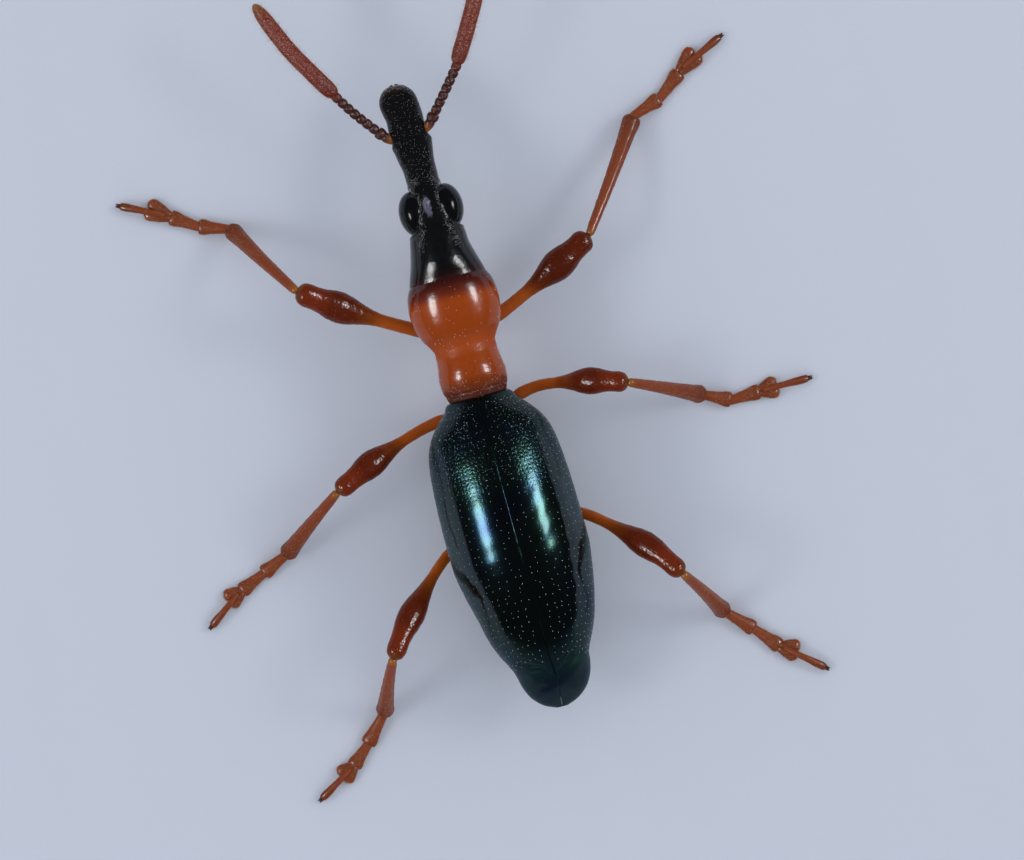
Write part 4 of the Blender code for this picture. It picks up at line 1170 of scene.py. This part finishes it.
def belly_grid(first, last, rings, joints):
    """The lower half of the hind body: a superelliptic arc under a flat roof, stepped at each joint."""
    back = np.linspace(first, last, rings)
    half, middle, top, belly = flow(HIND_BODY, back).T[:, :, None]
    roof = middle - EDGE_SHARE * (middle - belly) - ROOF_GAP
    start = math.asin(EDGE_SHARE ** (BODY_SQUARENESS / 2.0)) + BELLY_START
    turn = np.linspace(-start, start - math.pi, BELLY_COLUMNS)[None, :]
    groove = sum(hill(back, joint, 0.018) for joint in joints) if joints else 0.0 * back
    step = sum(0.35 * hill(back, joint - 0.05, 0.05) for joint in joints) if joints else 0.0 * back
    depth = mm(sizes().sternite_groove) * (groove - step)[:, None]
    right = (half * BELLY_INSET - depth) * squared(np.cos(turn))
    up = np.minimum(middle + (middle - belly - depth) * squared(np.sin(turn)), roof - ROOF_STEP)
    edge = roof + 0.0 * right[:, :1]
    inner = np.linspace(0.92, -0.92, 12)[None, :]
    right = np.concatenate([right, right[:, -1:] * inner], axis=1)
    up = np.concatenate([up, edge + 0.0 * inner], axis=1)
    grid = square_rings(back, spine(back)[:, None] + right, up)
    low = (np.arange(grid.shape[1]) < turn.shape[1])[None, :] * 1.0
    amount = 0.002 * waves(grid, (0.15, 0.3), 61) * low
    amount -= 0.006 * pits(grid, 0.060, 44, 0.014, 0.8, seed=63) * low
    if not joints:
        amount -= 0.014 * hill(grid[..., 1], 0.0, 0.014) * low * smooth_step(3.9, 4.3, grid[..., 0])
    return raised(grid, amount)


def funicle_halves():
    """Half widths of a string of beads, each a blunt bell that is widest past its middle."""
    rows = [(0.0, 0.034)]
    steps = 14
    for bead in range(FUNICLE_BEADS):
        widest = FIRST_BEAD_HALF if bead == 0 else FUNICLE_HALF
        for k in range(1, steps):
            t = k / steps
            bell = math.sin(math.pi * t ** 1.25) ** 0.55
            rows.append(((bead + t) / FUNICLE_BEADS, widest * (NECK_SHARE + (1.0 - NECK_SHARE) * bell)))
        rows.append(((bead + 1.0) / FUNICLE_BEADS, 0.030))
    return rows


def shin_points(leg):
    """The knee, a place half way that bows out and up, and the ankle."""
    hip, _, _, knee, ankle = LEGS[leg][:5]
    knee, ankle = np.array(knee), np.array((*ankle, ANKLE_HEIGHT))
    bow = np.array(SHIN_BOW) * (1.0, math.copysign(1.0, hip[1]), 1.0)
    return knee, (knee + ankle) / 2.0 + bow, ankle


def lobe_pieces(second, lobes):
    """The two lobes, side by side: path, profile, mesh and the marks at both ends."""
    along = (lobes - second) / np.linalg.norm(lobes - second)
    across = np.cross(along, (0.0, 0.0, 1.0))
    for side, _ in SIDES:
        near, middle, far = (across * side * LOBE_SPREAD * share for share in LOBE_SPREAD_SHARES)
        path = (second - along * LOBE_OVERLAP + near, second + (lobes - second) * LOBE_KNOB + middle,
                lobes + far)
        yield path, LOBE_HALF, MESH["lobe"], (0.3, 0.62)


def claw_pieces(middle, claws):
    """The two claws, spread and curled at the end of the claw joint."""
    along = claws - middle
    along[2] = 0.0
    along /= np.linalg.norm(along)
    across = np.cross(along, (0.0, 0.0, 1.0))
    for side, _ in SIDES:
        heading = along * math.cos(CLAW_SPREAD) + across * side * math.sin(CLAW_SPREAD)
        root = claws - along * CLAW_OVERLAP + across * side * CLAW_ASIDE
        bend = claws + heading * CLAW_LENGTH * CLAW_BEND + np.array((0.0, 0.0, CLAW_LIFT))
        tip = claws + (heading + along * CLAW_CURL) * CLAW_LENGTH
        tip[2] = CLAW_TIP_HEIGHT
        yield (root, bend, tip), CLAW_HALF, MESH["claw"], (0.93, 1.0)


def foot_pieces(leg):
    """Two bell-shaped joints, two lobes, the claw joint and two claws, each as lobe_pieces gives them."""
    ankle, first, second, lobes, claws = LEGS[leg][4:]
    ankle, first = np.array((*ankle, JOINT_HEIGHTS[0])), np.array((*first, JOINT_HEIGHTS[1]))
    second, lobes = np.array((*second, JOINT_HEIGHTS[2])), np.array((*lobes, JOINT_HEIGHTS[2]))
    claws = np.array((*claws, CLAW_JOINT_HEIGHTS[2]))
    start = ankle + (ankle - first) * JOINT_OVERLAPS[0]
    yield (start, (ankle + first) / 2.0, first), FOOT_JOINT_HALF, MESH["joint"], (0.0, 0.45)
    start = first - (second - first) * JOINT_OVERLAPS[1]
    yield (start, (start + second) / 2.0, second), FOOT_JOINT_HALF, MESH["joint"], (0.1, 0.45)
    lobes = second + (lobes - second) * LOBE_REACH
    yield from lobe_pieces(second, lobes)
    root = second + (lobes - second) * CLAW_START
    root[2] = CLAW_JOINT_HEIGHTS[0]
    middle = (root + claws) / 2.0
    middle[2] = CLAW_JOINT_HEIGHTS[1]
    yield (root, middle, claws), CLAW_JOINT_HALF, MESH["claw_joint"], (0.62, 0.86)
    yield from claw_pieces(middle, claws)


def foot_grids(leg):
    """The grids of one foot, kept above the floor, with their marks for the finish."""
    grids, marks = [], []
    for points, halves, mesh, ends in foot_pieces(leg):
        grid = limb_grid(points, halves, *mesh)
        grid = raised(grid, 0.0012 * waves(grid, (0.05, 0.09), len(grids)))
        grid[..., 2] = np.maximum(grid[..., 2], SOLE_CLEARANCE)
        grids.append(grid)
        marks.append(np.linspace(*ends, mesh[0])[:, None] + np.zeros((1, mesh[1])))
    return grids, marks


def marked(grid):
    """Marks that run from 0 at a grid's first ring to 1 at its last, by length."""
    length = lengths_along(grid)
    return length / length[-1] + np.zeros((1, grid.shape[1]))


def kept(name, make):
    """A grid by name, worked out once, so that skins and hairs share it."""
    if name not in GRIDS:
        GRIDS[name] = make()
    return GRIDS[name]


def thigh_grid(leg):
    """One thigh: its shape carried from inside the hip to the knee, with fine punctures."""
    hip, bend, middle, knee = (np.array(point) for point in LEGS[leg][:4])
    widest = THIGH_WIDEST[leg.split("_")[0]]
    halves = [(share, widest * size, widest * size * THIGH_DEPTH_SHARE) for share, size in THIGH_SHAPE]
    start = hip + (bend - hip) * THIGH_START
    grid = limb_grid((start, bend, middle, knee), halves, *MESH["thigh"], 0.4)
    share = marked(grid)
    amount = 0.0016 * waves(grid, (0.08, 0.15, 0.3), 71)
    amount -= 0.0032 * pits(grid, 0.036, 24, 0.012, 0.85, seed=73) * smooth_step(0.45, 0.6, share)
    return raised(grid, amount)


def shin_grid(leg):
    """One shin: it thickens from the knee to the ankle, with long shallow ridges."""
    grid = limb_grid(shin_points(leg), SHIN_HALF, *MESH["shin"], 0.5)
    turn = turned(MESH["shin"][1])[None, :]
    share = marked(grid)
    amount = 0.0022 * np.cos(turn * 6.0) * smooth_step(0.1, 0.4, share)
    amount = amount + 0.0015 * waves(grid, (0.07, 0.13), 77)
    amount -= 0.0030 * pits(grid, 0.045, 12, 0.009, 0.8, seed=79) * smooth_step(0.1, 0.2, share)
    return raised(grid, amount)


class WEEVIL_OT_head(bpy.types.Operator):
    """Skin the rostrum and head in one piece"""

    bl_idname = "weevil.head"
    bl_label = "Head and rostrum"

    def execute(self, context):
        gloss = look("head_gloss", draw_head)
        skin("head_skin", [kept("head", head_grid)], gloss, "black_shell", ("rostrum", "head"))
        return {"FINISHED"}


class WEEVIL_OT_eyes(bpy.types.Operator):
    """Set the two faceted eyes in their rims"""

    bl_idname = "weevil.eyes"
    bl_label = "Eyes"

    def execute(self, context):
        for side, word in SIDES:
            grid = ball_grid(eye_centre(side), EYE_HALF, *MESH["eye"])
            back, _, up = np.moveaxis(grid, -1, 0)
            pitch = 2.0 * math.pi / FACET_PITCH
            facets = sum(np.cos(pitch * (back * math.cos(a) + up * math.sin(a))) for a in FACET_TURNS)
            skin(f"eye_{word}_lens", [raised(grid, FACET_HEIGHT * facets)], look("eye_polish", draw_eye),
                 "eye_gloss", (f"eye_{word}",))
        return {"FINISHED"}


class WEEVIL_OT_mouth(bpy.types.Operator):
    """Curve the two mandibles at the tip of the rostrum"""

    bl_idname = "weevil.mouth"
    bl_label = "Mandibles"

    def execute(self, context):
        for side, word in SIDES:
            middle = spine(MANDIBLE_ROOT[0])
            root = (MANDIBLE_ROOT[0], middle + side * MANDIBLE_ROOT[1], MANDIBLE_ROOT[2])
            tip = (MANDIBLE_TIP[0], middle + side * MANDIBLE_TIP[1], MANDIBLE_TIP[2])
            bow = ((root[0] + tip[0]) / 2.0, root[1] + side * MANDIBLE_BOW, (root[2] + tip[2]) / 2.0)
            grid = limb_grid((root, bow, tip), MANDIBLE_HALF, *MESH["mandible"])
            skin(f"mandible_{word}_blade", [grid], look("head_gloss", draw_head), "black_shell",
                 (f"mandible_{word}",))
        return {"FINISHED"}


class WEEVIL_OT_prothorax(bpy.types.Operator):
    """Skin the orange prothorax and the membrane of the waist"""

    bl_idname = "weevil.prothorax"
    bl_label = "Prothorax"

    def execute(self, context):
        gloss = look("thorax_gloss", draw_prothorax)
        skin("prothorax_skin", [kept("prothorax", prothorax_grid)], gloss, "orange_shell", ("prothorax",))
        waist = body_grid(WAIST_MEMBRANE, *MESH["membrane"])
        turn = turned(MESH["membrane"][1])[None, :]
        waist = raised(waist, 0.004 * np.cos(turn * 31.0) * hill(waist[..., 0], 3.43, 0.03))
        skin("waist_membrane", [waist], look("membrane", draw_membrane), "limb_amber")
        return {"FINISHED"}


class WEEVIL_OT_underside(bpy.types.Operator):
    """Skin the hind thorax and the jointed abdomen"""

    bl_idname = "weevil.underside"
    bl_label = "Underside"

    def execute(self, context):
        satin = look("belly", draw_belly)
        thorax = belly_grid(HIND_BODY[0][0], THORAX_END, THORAX_RINGS, ())
        skin("hind_thorax_skin", [thorax], satin, "belly_shell", ("hind_thorax",))
        abdomen = belly_grid(*ABDOMEN, ABDOMEN_RINGS, STERNITE_JOINTS)
        skin("abdomen_skin", [abdomen], satin, "belly_shell", ("abdomen",))
        return {"FINISHED"}


class WEEVIL_OT_wing_cases(bpy.types.Operator):
    """Shape the two wing cases with seam, punctures and end folds"""

    bl_idname = "weevil.wing_cases"
    bl_label = "Wing cases"

    def execute(self, context):
        for side, word in SIDES:
            grid = kept(f"wing_case_{word}", lambda: wing_case_grid(side))
            gloss = look("wing_gloss", draw_wing_case)
            skin(f"wing_case_{word}", [grid], gloss, "wing_case", (f"elytron_{word}",))
        return {"FINISHED"}


class WEEVIL_OT_feelers(bpy.types.Operator):
    """Build scape, beads and club of both antennae"""

    bl_idname = "weevil.feelers"
    bl_label = "Antennae"

    def execute(self, context):
        shell = look("feeler", draw_feeler)
        rings, sides = MESH["bead"]
        for word in SCAPE:
            scape = limb_grid(SCAPE[word], SCAPE_HALF, *MESH["scape"])
            beads = limb_grid(FUNICLE[word], funicle_halves(), FUNICLE_BEADS * rings, sides, 0.0)
            club = limb_grid(CLUB[word], CLUB_HALF, *MESH["club"])
            rough = pits(club, 0.022, 22, 0.0095, 0.9, seed=83)
            club = raised(club, 0.0016 * waves(club, (0.06, 0.11, 0.2), 85) - 0.0024 * rough)
            GRIDS[f"club_{word}"] = club
            GRIDS[f"beads_{word}"] = beads
            parts = (("scape", scape, "limb_amber", 0.0, 0.09),
                     ("funicle", beads, "feeler_dark", 0.10, 0.42),
                     ("club", club, "feeler_club", 0.43, 1.0))
            for part, grid, slot, low, high in parts:
                node = f"antenna_{word}_{part}"
                skin(f"{node}_skin", [grid], shell, slot, (node,), [low + (high - low) * marked(grid)])
        return {"FINISHED"}


class WEEVIL_OT_hips(bpy.types.Operator):
    """Round the six hips"""

    bl_idname = "weevil.hips"
    bl_label = "Hips"

    def execute(self, context):
        for leg in LEGS:
            grid = ball_grid(LEGS[leg][0], (HIP_RADIUS,) * 3, *MESH["hip"])
            grid = raised(grid, 0.002 * waves(grid, (0.09, 0.17), 91))
            skin(f"hip_{leg}", [grid], look("hip", draw_hip), "limb_red", (f"coxa_{leg}",))
        return {"FINISHED"}


class WEEVIL_OT_legs(bpy.types.Operator):
    """Build thigh, shin and foot of all six legs"""

    bl_idname = "weevil.legs"
    bl_label = "Legs"

    def execute(self, context):
        for leg in LEGS:
            thigh = kept(f"thigh_{leg}", lambda: thigh_grid(leg))
            skin(f"thigh_{leg}", [thigh], look("thigh", draw_thigh), "limb_red", (f"femur_{leg}",),
                 [marked(thigh)])
            shin = kept(f"shin_{leg}", lambda: shin_grid(leg))
            skin(f"shin_{leg}", [shin], look("shin", draw_shin), "limb_amber", (f"tibia_{leg}",),
                 [marked(shin)])
            grids, marks = kept(f"foot_{leg}", lambda: foot_grids(leg))
            skin(f"foot_{leg}", grids, look("foot", draw_foot), "limb_amber", (f"tarsus_{leg}",), marks)
        return {"FINISHED"}


class WEEVIL_OT_hair(bpy.types.Operator):
    """Set the short hairs of body, feelers and legs"""

    bl_idname = "weevil.hair"
    bl_label = "Hair"

    def execute(self, context):
        length, half = mm(sizes().hair_length), mm(sizes().hair_half)
        self.pale_hair(look("hair", draw_hair), length, half)
        self.rosy_hair(look("rosy_hair", draw_hair), length, half)
        self.amber_hair(look("amber_hair", draw_hair), length, half)
        return {"FINISHED"}

    def pale_hair(self, pale, length, half):
        """White specks, each a pale seta made thick enough to serve as a painted glint as well: one in each
        larger puncture of the wing cases, more on head and rostrum.
        """
        hairs = Hairs(101, 8)
        head = GRIDS["head"]
        speck, thick = length * SPECK_LENGTH, half * SPECK_THICKNESS
        back = head[..., 0]
        top = outward(head)[..., 2]
        # Along the brow bands and on the rostrum the specks are painted glints of the punctures as much as
        # setae
        bands = brow_bands(head) * smooth_step(0.95, 1.05, back)
        hairs.sow(head, 700, bands * (top > 0.2), speck * 0.38, thick * 1.5, lift=0.6, spread=0.8)
        rostrum = (top > 0.1) * (back > 0.06) * smooth_step(1.2, 0.9, back)
        hairs.sow(head, 460, rostrum, speck * 0.34, thick * 1.6, lift=0.8, spread=0.8)
        hairs.sow(head, 140, back < 0.05, length, half * 0.8, heading=(-1.0, 0.0), lift=0.5, spread=0.6)
        for _, word in SIDES:
            case = GRIDS[f"wing_case_{word}"]
            behind = case[..., 0]
            reach = np.abs(case[..., 1] - spine(behind))
            outer = (np.arange(case.shape[1]) < SHELL_COLUMNS - EDGE_COLUMNS)[None, :]
            shell = outer * (behind > 3.46) * (reach > 0.05)
            hairs.sow(case, 0, shell * (behind < 6.3), speck * 0.85, thick * 0.9, lift=0.9, curl=0.4,
                      spread=0.6, places=pit_places(case, *DOT_ROWS, DOT_JITTER, PIT_SEED))
            hairs.sow(case, 150, shell * smooth_step(4.5, 4.0, behind), speck * 0.7, thick * 0.7, lift=0.6,
                      spread=0.8)
        hairs.piece("pale_hair", pale, "feeler_club")

    def rosy_hair(self, rosy, length, half):
        """Short bristles of the feelers, and a few hairs on the prothorax, closest at its rear collar."""
        hairs = Hairs(103, 6)
        for word in SCAPE:
            for part, count, share in (("club", 1700, 0.28), ("beads", 200, 0.30)):
                hairs.sow(GRIDS[f"{part}_{word}"], count, 1.0, length * share, half * 1.5, lift=1.2,
                          curl=0.3, spread=0.8)
        prothorax = GRIDS["prothorax"]
        back = prothorax[..., 0]
        hairs.sow(prothorax, 200, (back > 2.12) * (back < 3.30), length * 0.7, half * 1.9, lift=0.8,
                  spread=0.9)
        hairs.sow(prothorax, 240, smooth_step(3.08, 3.34, back) * (back < 3.39), length * 0.35, half * 1.9,
                  lift=0.5, spread=1.5)
        hairs.piece("rosy_hair", rosy, "feeler_club")

    def amber_hair(self, amber, length, half):
        """The fine fringe of the feelers, short hair on thighs and shins, and fringes on the feet."""
        hairs = Hairs(107, 44)
        for word in SCAPE:
            hairs.sow(GRIDS[f"club_{word}"], 1200, 1.0, length * 0.75, half * 0.9, lift=2.6, curl=0.6)
        for leg in LEGS:
            thigh, shin = GRIDS[f"thigh_{leg}"], GRIDS[f"shin_{leg}"]
            hairs.sow(thigh, 90, smooth_step(0.4, 0.6, marked(thigh)), length * 0.6, half, lift=0.35)
            hairs.sow(shin, 240, smooth_step(0.08, 0.4, marked(shin)), length * 0.85, half, lift=0.5,
                      curl=0.2)
            grids, _ = GRIDS[f"foot_{leg}"]
            for grid, count in zip(grids[:5], (120, 120, 110, 110, 30)):
                beyond = marked(grid)
                side = (grid[..., 2] > SOLE_CLEARANCE * 2.0) * smooth_step(0.1, 0.5, beyond)
                hairs.sow(grid, count, side, length, half * 1.2, lift=0.6, curl=0.45, spread=0.6)
        hairs.piece("amber_hair", amber, "limb_amber")


class WEEVIL_OT_stage(bpy.types.Operator):
    """Lay the floor and set the camera, the two soft lamps and the even light"""

    bl_idname = "weevil.stage"
    bl_label = "Floor, light and camera"

    def execute(self, context):
        stage = context.scene.weevil_stage
        self.lay_floor(stage.floor_half)
        for word, side, tilt, forward in LAMPS:
            aim = Vector((-side * math.sin(tilt), -forward, math.cos(tilt))).normalized()
            self.hang_lamp(f"lamp_{word}", aim, stage, stage.lamp_power)
            gleam = self.hang_lamp(f"gleam_{word}", aim, stage, stage.gleam_power)
            gleam.visible_diffuse = False
        self.set_sky(context.scene, stage)
        self.set_camera(context.scene)
        context.scene.view_settings.view_transform = "Standard"
        return {"FINISHED"}

    def lay_floor(self, half):
        """A flat square just under the soles."""
        corners = np.array(((-1.0, -1.0), (1.0, -1.0), (1.0, 1.0), (-1.0, 1.0))) * half
        points = np.concatenate([corners, np.full((4, 1), -FLOOR_DROP * MM)], axis=1)
        mesh = mesh_of("floor", points, np.arange(4), np.array([4]))
        mesh.materials.append(look("floor", draw_floor))
        linked("floor", mesh)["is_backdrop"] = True

    def hang_lamp(self, name, aim, stage, power):
        """An oval soft lamp in the direction given, longer along the animal, aimed at its middle."""
        lamp = bpy.data.lights.new(name, "AREA")
        lamp.shape = "ELLIPSE"
        lamp.size = stage.lamp_size
        lamp.size_y = stage.lamp_size * LAMP_WIDTH_SHARE
        lamp.energy = power
        lamp.color = LAMP_COLOUR
        holder = linked(name, lamp)
        holder.location = aim * stage.lamp_distance
        holder.rotation_euler = aim.to_track_quat("Z", "Y").to_euler()
        holder.visible_camera = False
        return holder

    def set_sky(self, scene, stage):
        """An even, slightly blue light from all round, dimmer where gloss reflects it, as in a dark room."""
        world = bpy.data.worlds.new("sky")
        world.use_nodes = True
        tree = world.node_tree
        even, dim = tree.nodes["Background"], tree.nodes.new("ShaderNodeBackground")
        for light, strength in ((even, stage.sky), (dim, stage.sky_gloss)):
            light.inputs["Color"].default_value = SKY_COLOUR
            light.inputs["Strength"].default_value = strength
        rays, mix = tree.nodes.new("ShaderNodeLightPath"), tree.nodes.new("ShaderNodeMixShader")
        tree.links.new(rays.outputs["Is Glossy Ray"], mix.inputs[0])
        tree.links.new(even.outputs[0], mix.inputs[1])
        tree.links.new(dim.outputs[0], mix.inputs[2])
        tree.links.new(mix.outputs[0], tree.nodes["World Output"].inputs["Surface"])
        world.cycles.sampling_method = "NONE"
        scene.world = world

    def set_camera(self, scene):
        """A long lens straight above, turned and framed as the photograph is."""
        camera = bpy.data.cameras.new("camera")
        camera.sensor_width = SENSOR
        camera.lens = SENSOR * (CAMERA_HEIGHT - FOCUS_HEIGHT) / (PHOTO_WIDTH * PIXEL)
        camera.clip_start = CAMERA_HEIGHT * MM * CLIP_START_SHARE
        camera.clip_end = CLIP_END
        holder = linked("camera", camera)
        holder.location = place((*PHOTO_MIDDLE, CAMERA_HEIGHT))
        holder.rotation_euler = (0.0, 0.0, math.pi - PHOTO_TURN)
        scene.camera = holder


class WEEVIL_PT_panel(bpy.types.Panel):
    """Lists the pieces, sizes and colours"""

    bl_idname = "WEEVIL_PT_panel"
    bl_label = "Sweet potato weevil"
    bl_space_type = "VIEW_3D"
    bl_region_type = "UI"
    bl_category = PANEL_TAB

    def draw(self, context):
        for group in (context.scene.weevil_sizes, context.scene.weevil_colours, context.scene.weevil_stage):
            box = self.layout.box()
            for key in group.__annotations__:
                box.prop(group, key)
        for operator in PIECES:
            self.layout.operator(operator.bl_idname)


PIECES = (WEEVIL_OT_head, WEEVIL_OT_eyes, WEEVIL_OT_mouth, WEEVIL_OT_prothorax, WEEVIL_OT_underside,
          WEEVIL_OT_wing_cases, WEEVIL_OT_feelers, WEEVIL_OT_hips, WEEVIL_OT_legs, WEEVIL_OT_hair,
          WEEVIL_OT_stage)
GROUPS = {"weevil_sizes": WeevilSizes, "weevil_colours": WeevilColours, "weevil_stage": WeevilStage}


def register():
    """Register groups, operators and panel."""
    for group in GROUPS.values():
        bpy.utils.register_class(group)
    for name, group in GROUPS.items():
        setattr(bpy.types.Scene, name, PointerProperty(type=group))
    for item in (*PIECES, WEEVIL_PT_panel):
        bpy.utils.register_class(item)


def unregister():
    """Take them all out again."""
    for item in (WEEVIL_PT_panel, *reversed(PIECES)):
        bpy.utils.unregister_class(item)
    for name, group in GROUPS.items():
        delattr(bpy.types.Scene, name)
        bpy.utils.unregister_class(group)


def main():
    """Build every piece in order."""
    register()
    for operator in PIECES:
        group, name = operator.bl_idname.split(".")
        getattr(getattr(bpy.ops, group), name)()
    boxes = {"cad": frame_box, "visual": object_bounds()}
    {key: [[float(x) for x in corner] for corner in box] for key, box in boxes.items()}


if __name__ == "__main__":
    main()
